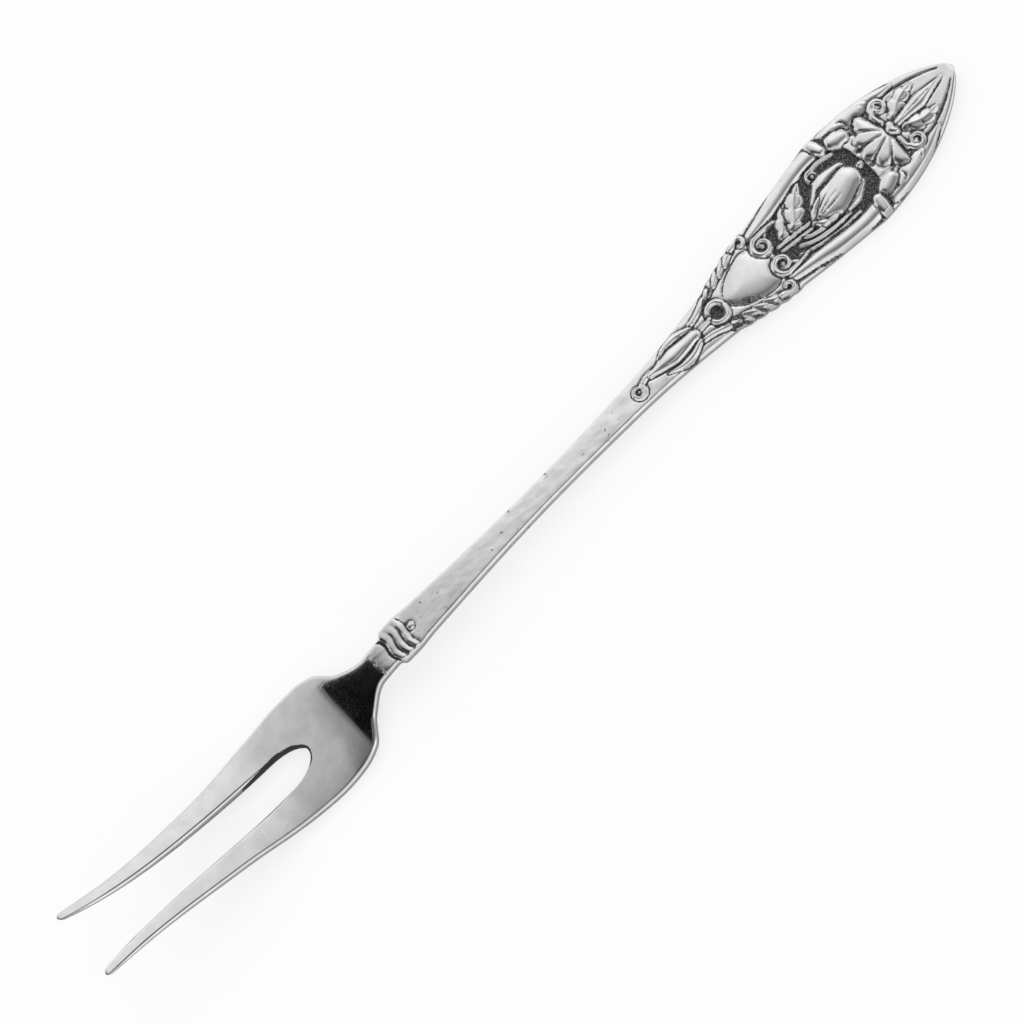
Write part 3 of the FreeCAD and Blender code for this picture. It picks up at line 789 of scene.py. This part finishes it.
class SkinGrid:
    """The skin's places on one side of the fork, in columns and rows, in millimetres.

    The columns start at the middle of the back and end at the middle of the front.
    """

    def __init__(self, form):
        self.form = form
        self.inner, self.outer, self.first_parted = row_ends(form)
        self.run = np.hypot(*(self.outer - self.inner).T)
        self.shoulder, self.back_shoulder = self.shoulder_widths()
        self.distance = self.column_distances()
        share = self.distance / self.run
        self.station = self.outer[:, 0] + (self.inner[:, 0] - self.outer[:, 0]) * share
        self.across = self.outer[:, 1] + (self.inner[:, 1] - self.outer[:, 1]) * share
        self.on_back = (np.arange(len(share)) < BACK_COLUMNS + BACK_SHOULDER_COLUMNS + 1)[:, None]
        self.to_slot = self.slot_distances()

    def shoulder_widths(self):
        """Return how wide the front and back shoulders of each row are, along the row."""
        edge = self.outer[:, 0]
        step = 1e-3
        slope = (self.form.half_width(edge + step) - self.form.half_width(edge - step)) / (2 * step)
        square = np.cos(np.arctan(np.clip(slope, -1.2, 1.2)))
        front = np.minimum(SHOULDER_WIDTH, SHOULDER_SHARE * self.run * square) / square
        back = np.minimum(BACK_SHOULDER_WIDTH, BACK_SHOULDER_SHARE * self.run * square) / square
        return front, back

    def column_distances(self):
        """Return each column's distances from the outer ends of the rows."""
        back_angle = np.linspace(0.0, math.pi / 2, BACK_SHOULDER_COLUMNS + 1)
        even = np.linspace(0.0, 1.0, FRONT_COLUMNS + 1)[1:]
        crowd = 1.0 + FRONT_CROWDING * smooth_step((self.inner[:, 0] - TAIL) / (NECK - TAIL))
        back_even = np.linspace(0.0, 1.0, BACK_COLUMNS + 1)[:-1]
        return np.concatenate([
            self.run - (self.run - self.back_shoulder) * back_even[:, None],
            self.back_shoulder * (1.0 - np.cos(back_angle[::-1]))[:, None],
            self.shoulder * np.array(SHOULDER_STOPS)[:, None],
            self.run - (self.run - self.shoulder) * (1.0 - even[:, None]) ** crowd,
        ])

    def slot_distances(self):
        """Return each place's distance from the edge of the gap between the tines."""
        slot = self.form.slot_side(count_nose=24, count_side=60)
        distance = np.full(self.station.shape, np.inf)
        for start, end in zip(slot, slot[1:]):
            here, _ = from_line(self.station, self.across, start, end)
            distance = np.minimum(distance, here)
        return distance

    def plain_heights(self):
        """Return the heights of the front and the back without their carving."""
        form, station = self.form, self.station
        beyond_nose = smooth_step((station - SLOT_NOSE_END + 1.0) / 6.0)
        slot_width = np.minimum(SHOULDER_WIDTH, SLOT_SHOULDER_SHARE * self.run)
        slot_width = slot_width * (0.3 + 0.7 * beyond_nose)
        deep = form.thickness(station) / 2
        share = np.clip(self.across / form.half_width(station), 0.0, 1.0)
        front = form.middle(station) + deep + form.crown(station) * (1.0 - share ** 4)
        high = np.minimum(SHOULDER_HEIGHT, SHOULDER_DEPTH_SHARE * deep)
        high = high * np.minimum(1.0, self.shoulder / SHOULDER_WIDTH)
        slot_high = np.minimum(SLOT_SHOULDER_HEIGHT, SLOT_DEPTH_SHARE * deep)
        slot_high = slot_high * slot_width / SHOULDER_WIDTH
        fallen = high * bevelled(self.distance, self.shoulder)
        fallen += slot_high * bevelled(self.to_slot, slot_width)
        back_high = np.minimum(BACK_SHOULDER_HEIGHT, SHOULDER_DEPTH_SHARE * deep)
        back = form.middle(station) - deep
        back += back_high * rounded(self.distance, self.back_shoulder)
        back += 0.5 * back_high * rounded(self.to_slot, slot_width)
        return front - fallen, back

    def slot_painted_shade(self, last_station, run_out):
        """Return painted shade on the slot's wall, darkest near its nose, and on a band along its
        front edge, which narrows along the slot.
        """
        wall = 0.3 + 0.6 * smooth_step((SLOT_NOSE_END + 6.0 - self.station) / 9.0)
        wall = np.where(self.on_back & (self.to_slot < 0.02), wall, 0.0)
        reach = SLOT_SHADE_WIDTH * smooth_step((last_station - self.station) / run_out) + 1e-6
        rim = np.sqrt(np.clip(1.0 - self.to_slot / reach, 0.0, 1.0))
        return np.where(self.on_back, wall, rim)

    def closed_ends(self, across, height):
        """Return places drawn in to small domes at the handle's tip and the tines' tips."""
        to_end = np.minimum(self.inner[:, 0], LENGTH - self.inner[:, 0])
        left = 1.0 - np.clip(to_end / TIP_DOME, 0.0, 1.0)
        scale = np.sqrt(np.clip(1.0 - left ** 2, 0.0, 1.0))
        tine_middle = (self.inner[:, 1] + self.outer[:, 1]) / 2
        middle_across = np.where(self.inner[:, 0] < NECK, 0.0, tine_middle)
        middle_height = self.form.middle(self.inner[:, 0])
        across = middle_across + (across - middle_across) * scale
        return across, np.maximum(0.0, middle_height + (height - middle_height) * scale)


def skin_places(form, relief):
    """Return the skin's places in millimetres, its oxide with the painted shade on the slot, and the
    first row the slot parts.
    """
    grid = SkinGrid(form)
    front, back = grid.plain_heights()
    fade = FADED_SHARE + (1.0 - FADED_SHARE) * smooth_step(grid.distance / FADE_WIDTH)
    fade *= smooth_step((COLLAR_END + 1.2 - grid.station) / 0.6)
    sides = []
    # The painted shade on the slot's edge runs further along the far side than along the near side
    for hand, shade_end, run_out in (
        (1.0, SLOT_NOSE_END + 5.0, 7.0),
        (-1.0, SLOT_START + 2.4, 2.0),
    ):
        carving = relief.sample(relief.height, grid.station, hand * grid.across)
        oxide = relief.sample(relief.dark, grid.station, hand * grid.across)
        height = np.where(grid.on_back, back, front + fade * carving)
        dark = np.where(grid.on_back, 0.0, oxide)
        across, height = grid.closed_ends(grid.across, height)
        places = np.stack([LENGTH / 2 - grid.station, hand * across, height], axis=-1)
        # The painted shade on the slot is merged into the oxide and shares its attribute
        sides.append((places, np.maximum(dark, grid.slot_painted_shade(shade_end, run_out))))
    places, dark = (np.concatenate([far, near[::-1]]) for far, near in zip(*sides))
    return places, dark, grid.first_parted


def select_only(mesh, chosen):
    """Select only the given vertices of a mesh in object mode, with what they bound."""
    mesh.vertices.foreach_set("select", chosen)
    ends = np.empty(2 * len(mesh.edges), np.int32)
    mesh.edges.foreach_get("vertices", ends)
    mesh.edges.foreach_set("select", chosen[ends].reshape(-1, 2).all(axis=1))
    mesh.polygons.foreach_set("select", np.zeros(len(mesh.polygons), bool))


def build_skin(form, relief):
    """Wrap a grid round the fork, open the slot, wall it and close the seams."""
    places, dark, first_parted = skin_places(form, relief)
    columns, rows = places.shape[:2]
    bpy.ops.object.select_all(action="DESELECT")
    bpy.ops.mesh.primitive_grid_add(
        x_subdivisions=rows - 1, y_subdivisions=columns - 1, size=2.0, location=(0.0, 0.0, 0.0)
    )
    fork = bpy.context.object
    fork.name = PIECE
    mesh = fork.data
    mesh.name = PIECE

    flat = np.empty(3 * len(mesh.vertices))
    mesh.vertices.foreach_get("co", flat)
    flat = flat.reshape(-1, 3)
    row = np.rint((flat[:, 0] + 1.0) / 2.0 * (rows - 1)).astype(int)
    column = np.rint((flat[:, 1] + 1.0) / 2.0 * (columns - 1)).astype(int)
    mesh.vertices.foreach_set("co", (places[column, row] * MM).ravel())
    # The oxide attribute also holds the painted shade on the slot's wall and edge
    oxide = mesh.attributes.new("oxide", "FLOAT", "POINT")
    oxide.data.foreach_set("value", dark[column, row])

    # The strip between the two middle columns of the front is open along the slot
    last = columns - 1
    far_middle, near_middle = columns // 2 - 1, columns // 2
    parted = row >= first_parted
    strip = parted & ((column == far_middle) | (column == near_middle))
    corners = np.empty(4 * len(mesh.polygons), np.int32)
    mesh.polygons.foreach_get("vertices", corners)
    in_strip = strip[corners].reshape(-1, 4).all(axis=1)
    select_only(mesh, np.zeros(len(flat), bool))
    mesh.polygons.foreach_set("select", in_strip)
    bpy.ops.object.mode_set(mode="EDIT")
    bpy.ops.mesh.select_mode(type="FACE")
    bpy.ops.mesh.delete(type="FACE")
    bpy.ops.mesh.select_mode(type="EDGE")
    for front_side, back_side in ((far_middle, 0), (near_middle, last)):
        bpy.ops.object.mode_set(mode="OBJECT")
        chosen = parted & ((column == front_side) | (column == back_side))
        select_only(mesh, chosen)
        bpy.ops.object.mode_set(mode="EDIT")
        bpy.ops.mesh.bridge_edge_loops()
    bpy.ops.mesh.select_mode(type="VERT")
    bpy.ops.mesh.select_all(action="SELECT")
    bpy.ops.mesh.remove_doubles(threshold=1e-6)
    bpy.ops.mesh.dissolve_degenerate(threshold=1e-7)
    bpy.ops.mesh.normals_make_consistent(inside=False)
    bpy.ops.mesh.select_all(action="DESELECT")
    bpy.ops.object.mode_set(mode="OBJECT")
    bpy.ops.object.shade_smooth()
    return fork


def add_node(tree, kind, links=(), **settings):
    """Add a node, set its own values and link (input, output) pairs into it."""
    node = tree.nodes.new(kind)
    for name, value in settings.items():
        setattr(node, name, value)
    for socket, source in links:
        if isinstance(source, bpy.types.NodeSocket):
            tree.links.new(source, node.inputs[socket])
        else:
            node.inputs[socket].default_value = source
    return node


def add_math(tree, operation, first, second=0.0, clamp=False):
    """Add a sum on one or two values and return its result."""
    node = add_node(tree, "ShaderNodeMath", [(0, first), (1, second)], operation=operation)
    node.use_clamp = clamp
    return node.outputs[0]


def add_range(tree, value, low, high, to_low=0.0, to_high=1.0, smooth=True):
    """Map a value from one range to another and return the result."""
    node = add_node(tree, "ShaderNodeMapRange", [
        ("Value", value),
        ("From Min", low),
        ("From Max", high),
        ("To Min", to_low),
        ("To Max", to_high),
    ])
    node.interpolation_type = "SMOOTHSTEP" if smooth else "LINEAR"
    return node.outputs["Result"]


def add_noise(tree, place, scale, detail, stretch=(1.0, 1.0, 1.0), turn=0.0):
    """Add noise with so many features a millimetre and return its strength."""
    mapping = add_node(tree, "ShaderNodeMapping", [
        ("Vector", place),
        ("Rotation", (0.0, 0.0, math.radians(turn))),
        ("Scale", tuple(scale / MM * factor for factor in stretch)),
    ])
    noise = add_node(tree, "ShaderNodeTexNoise", [
        ("Vector", mapping.outputs[0]),
        ("Scale", 1.0),
        ("Detail", detail),
    ])
    return noise.outputs["Fac"]


def mix_value(tree, share, first, second):
    """Blend two values or colours and return the result."""
    kind = "FLOAT" if isinstance(first, float) else "RGBA"
    index = 2 if kind == "FLOAT" else 6
    node = add_node(
        tree, "ShaderNodeMix", [(0, share), (index, first), (index + 1, second)], data_type=kind
    )
    return node.outputs[0 if kind == "FLOAT" else 2]


def multiply(tree, first, *others):
    """Multiply values one after the other and return the result."""
    for value in others:
        first = add_math(tree, "MULTIPLY", first, value)
    return first


def add_drift(tree, place, scale, detail, low, high, smooth=True):
    """Add noise that drifts between two values and return the result."""
    return add_range(tree, add_noise(tree, place, scale, detail), 0.3, 0.7, low, high, smooth)


def place_at(station):
    """Return where a station lies along the fork in the object's own space."""
    return (LENGTH / 2 - station) * MM


def oxide_cover(tree, place):
    """Return how far oxide covers the carving, with ragged edges."""
    # The oxide attribute also holds the painted shade on the slot, so this covers that too
    oxide = add_node(tree, "ShaderNodeAttribute", attribute_name="oxide").outputs["Fac"]
    grain = add_range(tree, add_noise(tree, place, 5.0, 3.0), 0.2, 0.8, -0.28, 0.28, False)
    ragged = add_math(tree, "ADD", oxide, grain)
    ragged = add_math(tree, "ADD", ragged, add_drift(tree, place, 0.7, 2.0, -0.22, 0.2, False))
    return add_range(tree, ragged, 0.3, 0.7)


def hammered_part(tree, place, along):
    """Return where the shank is hammered, down to a ragged end at the neck."""
    start, end = place_at(HAMMERED_END), place_at(ROOT)
    fray = add_drift(tree, place, 2.2, 2.0, -0.5 * MM, 0.5 * MM, False)
    above = add_range(tree, add_math(tree, "ADD", along, fray), start, start + 0.3 * MM)
    return multiply(tree, above, add_range(tree, along, end, end - 6.0 * MM))


def blemishes(tree, place, hammered):
    """Return the dark pits of the hammered shank and the flecks all over the silver."""
    pits = add_range(tree, add_noise(tree, place, 1.1, 2.0, (0.8, 1.0, 1.0)), 0.67, 0.73)
    flecks = add_range(tree, add_noise(tree, place, 2.6, 2.0, (0.6, 1.0, 1.0), 30.0), 0.7, 0.76)
    pitted = multiply(tree, pits, hammered, 0.7)
    return add_math(tree, "MAXIMUM", pitted, multiply(tree, flecks, 0.35))


def punched_dots(tree, place):
    """Return how far places are from the nearest dot of the punched ground."""
    spread = add_node(
        tree, "ShaderNodeVectorMath", [(0, place), ("Scale", 3.3 / MM)], operation="SCALE"
    )
    stipple = add_node(
        tree,
        "ShaderNodeTexVoronoi",
        [("Vector", spread.outputs[0]), ("Scale", 1.0)],
        voronoi_dimensions="2D",
    )
    return stipple.outputs["Distance"]


def oxide_colour(tree, place, stipple, on_carving, finish):
    """Dark oxide, in which punched dots stand light where their rims have rubbed bare."""
    dots = add_range(tree, stipple, 0.5, 0.15)
    mottle = add_drift(tree, place, 2.5, 3.0, 0.3, 1.0)
    return mix_value(
        tree,
        multiply(tree, dots, mottle, on_carving),
        tuple(finish.oxide_colour) + (1.0,),
        tuple(finish.oxide_worn_colour) + (1.0,),
    )


def silver_colour(tree, place, along, finish):
    """Clouded silver, with painted shade that darkens it from the middle of the shank towards the
    head.
    """
    cloud = add_drift(tree, place, 0.55, 3.0, 0.9, 1.0)
    painted_shade_towards_head = add_range(tree, along, 0.0, place_at(HAMMERED_END))
    # Painted shade: towards the head the silver's colour is scaled down to the head's tone
    tone = multiply(tree, cloud, mix_value(tree, painted_shade_towards_head, 1.0, finish.head_painted_shade_tone))
    silver = add_node(
        tree,
        "ShaderNodeVectorMath",
        [(0, tuple(finish.silver_colour)), ("Scale", tone)],
        operation="SCALE",
    )
    return silver.outputs[0]


def silver_roughness(tree, place, along, hammered, covered, finish):
    """Return the roughness: polished head, worn handle, hammered shank and matt oxide."""
    polish = add_drift(
        tree, place, 0.25, 3.0, finish.polish_roughness * 0.8, finish.polish_roughness * 1.3
    )
    worn = add_range(tree, along, place_at(ROOT) - 16.0 * MM, place_at(ROOT), 0.0, 0.19)
    rubbed = add_math(tree, "MAXIMUM", worn, multiply(tree, hammered, 0.12))
    rough = add_math(tree, "ADD", polish, rubbed)
    return add_math(tree, "ADD", rough, multiply(tree, covered, 0.36))


def silver_bumps(tree, place, hammered, pricks, finish):
    """Return normals bent by the shank's facets, the stippled ground and fine scratches."""
    facets = add_noise(tree, place, 0.75, 1.0, (0.55, 1.0, 1.0), 25.0)
    scratches = add_noise(tree, place, 7.0, 2.0, (0.06, 1.0, 1.0), 38.0)
    crossing = add_noise(tree, place, 6.0, 2.0, (0.05, 1.0, 1.0), -52.0)
    bump = None
    for height, depth in (
        (multiply(tree, facets, hammered), finish.facet_depth),
        (pricks, finish.stipple_depth),
        (add_math(tree, "ADD", scratches, crossing), finish.scratch_depth),
    ):
        node = add_node(tree, "ShaderNodeBump", [("Height", height), ("Distance", depth)])
        if bump is not None:
            tree.links.new(bump, node.inputs["Normal"])
        bump = node.outputs["Normal"]
    return bump


def silver_material(finish):
    """Polished silver, hammered on the shank, with dark oxide left in the carving."""
    material = bpy.data.materials.new("oxidised_silver")
    material.use_nodes = True
    tree = material.node_tree
    shader = tree.nodes["Principled BSDF"]
    place = add_node(tree, "ShaderNodeTexCoord").outputs["Object"]
    along = add_node(tree, "ShaderNodeSeparateXYZ", [(0, place)]).outputs["X"]
    on_carving = add_range(tree, along, place_at(TAIL) - 1.0 * MM, place_at(TAIL))
    hammered = hammered_part(tree, place, along)
    oxide = oxide_cover(tree, place)
    covered = add_math(tree, "MAXIMUM", oxide, blemishes(tree, place, hammered))
    stipple = punched_dots(tree, place)
    silver = silver_colour(tree, place, along, finish)
    dark = oxide_colour(tree, place, stipple, on_carving, finish)
    pricks = multiply(tree, stipple, covered, on_carving)
    for socket, source in (
        ("Base Color", mix_value(tree, covered, silver, dark)),
        ("Roughness", silver_roughness(tree, place, along, hammered, covered, finish)),
        ("Normal", silver_bumps(tree, place, hammered, pricks, finish)),
    ):
        tree.links.new(source, shader.inputs[socket])
    shader.inputs["Metallic"].default_value = 1.0
    return material


class FORK_PG_sizes(bpy.types.PropertyGroup):
    """Sizes of the fork."""

    handle_half: bpy.props.FloatProperty(
        name="Handle half width",
        description="Half the width of the handle at its widest",
        default=7.4 * MM,
        unit="LENGTH",
    )
    shank_half: bpy.props.FloatProperty(
        name="Shank half width",
        description="Half the width of the shank at its narrowest",
        default=1.64 * MM,
        unit="LENGTH",
    )
    collar_half: bpy.props.FloatProperty(
        name="Collar half width",
        description="Half the width of the collar over the neck",
        default=2.72 * MM,
        unit="LENGTH",
    )
    bowl_half: bpy.props.FloatProperty(
        name="Head half width",
        description="Half the width of the head over the slot",
        default=7.42 * MM,
        unit="LENGTH",
    )
    slot_half: bpy.props.FloatProperty(
        name="Slot half width",
        description="Half the gap between the tines at its upper end",
        default=2.5 * MM,
        unit="LENGTH",
    )
    collar_rise: bpy.props.FloatProperty(
        name="Collar rise",
        description="Height of the collar's middle over the handle's",
        default=3.4 * MM,
        unit="LENGTH",
    )
    tine_rise: bpy.props.FloatProperty(
        name="Tine rise",
        description="Height of the tines' tips over the head",
        default=11.1 * MM,
        unit="LENGTH",
    )


class FORK_PG_finish(bpy.types.PropertyGroup):
    """Colours and polish of the silver."""

    silver_colour: bpy.props.FloatVectorProperty(
        name="Silver",
        description="Colour of the polished silver",
        default=(0.93, 0.93, 0.925),
        subtype="COLOR",
        min=0.0,
        max=1.0,
    )
    oxide_colour: bpy.props.FloatVectorProperty(
        name="Oxide",
        description="Colour of the darkest oxide in the carving",
        default=(0.085, 0.085, 0.087),
        subtype="COLOR",
        min=0.0,
        max=1.0,
    )
    oxide_worn_colour: bpy.props.FloatVectorProperty(
        name="Worn oxide",
        description="Colour of the oxide where it has rubbed thin",
        default=(0.36, 0.36, 0.36),
        subtype="COLOR",
        min=0.0,
        max=1.0,
    )
    # Painted shade: the head's silver is darkened to this share of the handle's
    head_painted_shade_tone: bpy.props.FloatProperty(
        name="Head tone",
        description="How bright the dulled head is, next to the handle",
        default=0.86,
        min=0.0,
        max=1.0,
    )
    polish_roughness: bpy.props.FloatProperty(
        name="Polish roughness",
        description="Roughness of the polished head",
        default=0.08,
        min=0.0,
        max=1.0,
    )
    facet_depth: bpy.props.FloatProperty(
        name="Facet depth",
        description="Depth of the hammered facets on the shank",
        default=0.07 * MM,
        unit="LENGTH",
    )
    stipple_depth: bpy.props.FloatProperty(
        name="Stipple depth",
        description="Depth of the punched dots in the sunk ground",
        default=0.05 * MM,
        unit="LENGTH",
    )
    scratch_depth: bpy.props.FloatProperty(
        name="Scratch depth",
        description="Depth of the fine wear scratches",
        default=0.002 * MM,
        unit="LENGTH",
    )


class FORK_PG_studio(bpy.types.PropertyGroup):
    """Camera and light of the picture."""

    tilt: bpy.props.FloatProperty(
        name="Camera tilt",
        description="Angle between the camera's view and straight down",
        default=math.radians(21.0),
        subtype="ANGLE",
    )
    roll: bpy.props.FloatProperty(
        name="Camera roll",
        description="Turn of the fork in the picture",
        default=math.radians(46.67),
        subtype="ANGLE",
    )
    lens: bpy.props.FloatProperty(
        name="Lens",
        description="Focal length on a 36 mm sensor, in millimetres",
        default=86.484,
    )
    distance: bpy.props.FloatProperty(
        name="Camera distance",
        description="Distance of the camera from the fork",
        default=0.3117,
        unit="LENGTH",
    )
    target: bpy.props.FloatVectorProperty(
        name="Camera target",
        description="Place in the middle of the picture",
        default=(-2.19 * MM, 1.42 * MM, 3.0 * MM),
        subtype="TRANSLATION",
    )
    floor_colour: bpy.props.FloatVectorProperty(
        name="Floor",
        description="Colour of the pale floor",
        default=(0.9, 0.9, 0.9),
        subtype="COLOR",
        min=0.0,
        max=1.0,
    )
    lamp_power: bpy.props.FloatProperty(
        name="Lamp power",
        description="Power of the soft lamp over the fork, in watts",
        default=0.6,
    )


class FORK_OT_build_fork(bpy.types.Operator):
    """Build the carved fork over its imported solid"""

    bl_idname = "fork.build_fork"
    bl_label = "Build fork"

    def execute(self, context):
        form = ForkForm(context.scene.fork_sizes)
        fork = build_skin(form, carved_relief(form))
        if not fork.data.polygons:
            raise RuntimeError("the fork's skin has no faces")
        fork.data.materials.clear()
        fork.data.materials.append(silver_material(context.scene.fork_finish))
        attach(fork, "root")
        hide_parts(NODE)
        return {"FINISHED"}


def floor_material(colour):
    """Pale floor that reads as white round the fork and still takes its shadow."""
    material = bpy.data.materials.new("pale_floor")
    material.use_nodes = True
    tree = material.node_tree
    shader = tree.nodes["Principled BSDF"]
    shader.inputs["Base Color"].default_value = tuple(colour) + (1.0,)
    shader.inputs["Roughness"].default_value = 0.9
    path = add_node(tree, "ShaderNodeLightPath")
    mirrored_in_metal = path.outputs["Is Glossy Ray"]
    glow = add_node(tree, "ShaderNodeEmission", [
        ("Color", (1.0, 1.0, 1.0, 1.0)),
        ("Strength", add_math(tree, "SUBTRACT", 1.0, mirrored_in_metal)),
    ])
    seen = add_math(tree, "ADD", path.outputs["Is Camera Ray"], mirrored_in_metal)
    seen = add_math(tree, "ADD", seen, path.outputs["Is Transmission Ray"], clamp=True)
    # Painted shade in reflections: metal mirrors the floor mixed with black, by half under and before
    # the fork and by a tenth on its far side
    place = add_node(tree, "ShaderNodeTexCoord").outputs["Object"]
    across = add_node(tree, "ShaderNodeSeparateXYZ", [(0, place)]).outputs["Y"]
    mirrored_painted_shade = add_range(tree, across, 3.0 * MM, 7.0 * MM, 0.5, 0.1)
    share = mix_value(tree, mirrored_in_metal, 0.72, mirrored_painted_shade)
    share = multiply(tree, seen, share)
    mixed = add_node(tree, "ShaderNodeMixShader", [
        (0, share), (1, shader.outputs[0]), (2, glow.outputs[0]),
    ])
    tree.links.new(mixed.outputs[0], tree.nodes["Material Output"].inputs["Surface"])
    return material


def add_ramp(tree, value, stops):
    """Add a ramp through (place, level) stops, from -1 to 1, and return its level."""
    place = add_range(tree, value, -1.0, 1.0, 0.0, 1.0, False)
    node = add_node(tree, "ShaderNodeValToRGB", [(0, place)])
    ramp = node.color_ramp
    while len(ramp.elements) > 1:
        ramp.elements.remove(ramp.elements[-1])
    for index, (where, level) in enumerate(stops):
        element = ramp.elements[0] if index == 0 else ramp.elements.new(0.5 * (where + 1.0))
        element.position = 0.5 * (where + 1.0)
        element.color = (level, level, level, 1.0)
    return node.outputs["Color"]


def studio_world():
    """White room with a darker ceiling and one dark card, which polished metal mirrors.

    The card stands towards the tines, and its edge on the handle's side has a wide penumbra.
    """
    world = bpy.data.worlds.new("studio")
    bpy.context.scene.world = world
    world.use_nodes = True
    tree = world.node_tree
    background = tree.nodes["Background"]
    direction = add_node(tree, "ShaderNodeTexCoord").outputs["Generated"]
    parts = add_node(tree, "ShaderNodeSeparateXYZ", [(0, direction)])
    x, y, z = (parts.outputs[name] for name in "XYZ")
    over = add_ramp(tree, y, [
        (-1.0, 0.9), (-0.76, 0.9), (-0.62, 0.3), (-0.42, 0.06), (-0.3, 0.1), (-0.2, 0.24),
        (0.0, 0.36), (0.14, 0.43), (0.27, 0.56), (0.36, 0.68), (0.5, 0.78), (1.0, 0.82),
    ])
    along = add_ramp(tree, x, [
        (-1.0, 0.35), (-0.28, 0.42), (-0.1, 0.45), (0.04, 0.46), (0.12, 0.53), (0.2, 0.63),
        (0.3, 0.63), (0.45, 0.7), (1.0, 0.7),
    ])
    level = multiply(tree, over, multiply(tree, along, 2.0))
    low = add_range(tree, z, 0.3, 0.5, 1.0, 0.0)
    level = mix_value(tree, low, level, (0.9, 0.9, 0.9, 1.0))
    skewed = add_math(tree, "ADD", x, multiply(tree, y, 0.3))
    penumbra = multiply(tree, add_range(tree, skewed, -0.17, -0.28), 0.7)
    card = multiply(
        tree,
        add_math(tree, "MAXIMUM", add_range(tree, skewed, -0.286, -0.306), penumbra),
        add_range(tree, skewed, -0.9, -0.85),
        add_range(tree, y, 0.44, 0.42),
        add_range(tree, y, -0.4, -0.3),
    )
    level = mix_value(tree, card, level, (0.002, 0.002, 0.002, 1.0))
    path = add_node(tree, "ShaderNodeLightPath")
    seen = mix_value(tree, path.outputs["Is Glossy Ray"], (1.0, 1.0, 1.0, 1.0), level)
    tree.links.new(seen, background.inputs["Color"])
    background.inputs["Strength"].default_value = 1.0


def add_lamp(power):
    """One large soft lamp over the fork, which metal doesn't mirror."""
    bpy.ops.object.light_add(type="AREA", location=LAMP_PLACE)
    lamp = bpy.context.object
    lamp.name = "soft_lamp"
    lamp.data.energy = power
    lamp.data.size = LAMP_SIZE
    lamp.rotation_euler = lamp.location.to_track_quat("Z", "Y").to_euler()
    lamp.visible_glossy = False


def add_camera(studio):
    """The camera of the picture, looking down on the fork from its near side."""
    right = Vector((1.0, 0.0, 0.0))
    away = Vector((0.0, math.cos(studio.tilt), math.sin(studio.tilt)))
    back = Vector((0.0, -math.sin(studio.tilt), math.cos(studio.tilt)))
    across = math.cos(studio.roll) * right - math.sin(studio.roll) * away
    up = math.sin(studio.roll) * right + math.cos(studio.roll) * away
    camera = bpy.data.objects.new("camera", bpy.data.cameras.new("camera"))
    bpy.context.scene.collection.objects.link(camera)
    camera.data.lens = studio.lens
    camera.data.sensor_width = SENSOR_WIDTH
    camera.data.clip_start = 0.01
    camera.data.clip_end = 20.0
    turn = Matrix((across, up, back)).transposed().to_4x4()
    camera.matrix_world = Matrix.Translation(Vector(studio.target) + studio.distance * back) @ turn
    bpy.context.scene.camera = camera


class FORK_OT_set_stage(bpy.types.Operator):
    """Lay the floor, set the light and place the camera"""

    bl_idname = "fork.set_stage"
    bl_label = "Set stage"

    def execute(self, context):
        studio = context.scene.fork_studio
        bpy.ops.object.select_all(action="DESELECT")
        bpy.ops.mesh.primitive_plane_add(size=FLOOR_SIZE, location=(0.0, 0.0, 0.0))
        floor = context.object
        floor.name = "floor"
        floor.data.materials.append(floor_material(studio.floor_colour))
        studio_world()
        add_lamp(studio.lamp_power)
        add_camera(studio)
        context.scene.view_settings.view_transform = "Standard"
        return {"FINISHED"}


class FORK_PT_panel(bpy.types.Panel):
    """Sidebar panel with the fork's sizes, finish and steps."""

    bl_idname = "FORK_PT_panel"
    bl_label = "Cold meat fork"
    bl_space_type = "VIEW_3D"
    bl_region_type = "UI"
    bl_category = "Fork"

    def draw(self, context):
        for group in (context.scene.fork_sizes, context.scene.fork_finish, context.scene.fork_studio):
            for name in group.__annotations__:
                self.layout.prop(group, name)
        for operator in (FORK_OT_build_fork, FORK_OT_set_stage):
            self.layout.operator(operator.bl_idname)


CLASSES = (
    FORK_PG_sizes,
    FORK_PG_finish,
    FORK_PG_studio,
    FORK_OT_build_fork,
    FORK_OT_set_stage,
    FORK_PT_panel,
)


def register():
    """Register the classes and hang their settings on the scene."""
    for kind in CLASSES:
        bpy.utils.register_class(kind)
    bpy.types.Scene.fork_sizes = bpy.props.PointerProperty(type=FORK_PG_sizes)
    bpy.types.Scene.fork_finish = bpy.props.PointerProperty(type=FORK_PG_finish)
    bpy.types.Scene.fork_studio = bpy.props.PointerProperty(type=FORK_PG_studio)


def unregister():
    """Take the settings and the classes away again."""
    for name in ("fork_sizes", "fork_finish", "fork_studio"):
        delattr(bpy.types.Scene, name)
    for kind in reversed(CLASSES):
        bpy.utils.unregister_class(kind)


def main():
    """Build the fork and its stage."""
    register()
    bpy.ops.fork.build_fork()
    bpy.ops.fork.set_stage()


if __name__ == "__main__":
    main()
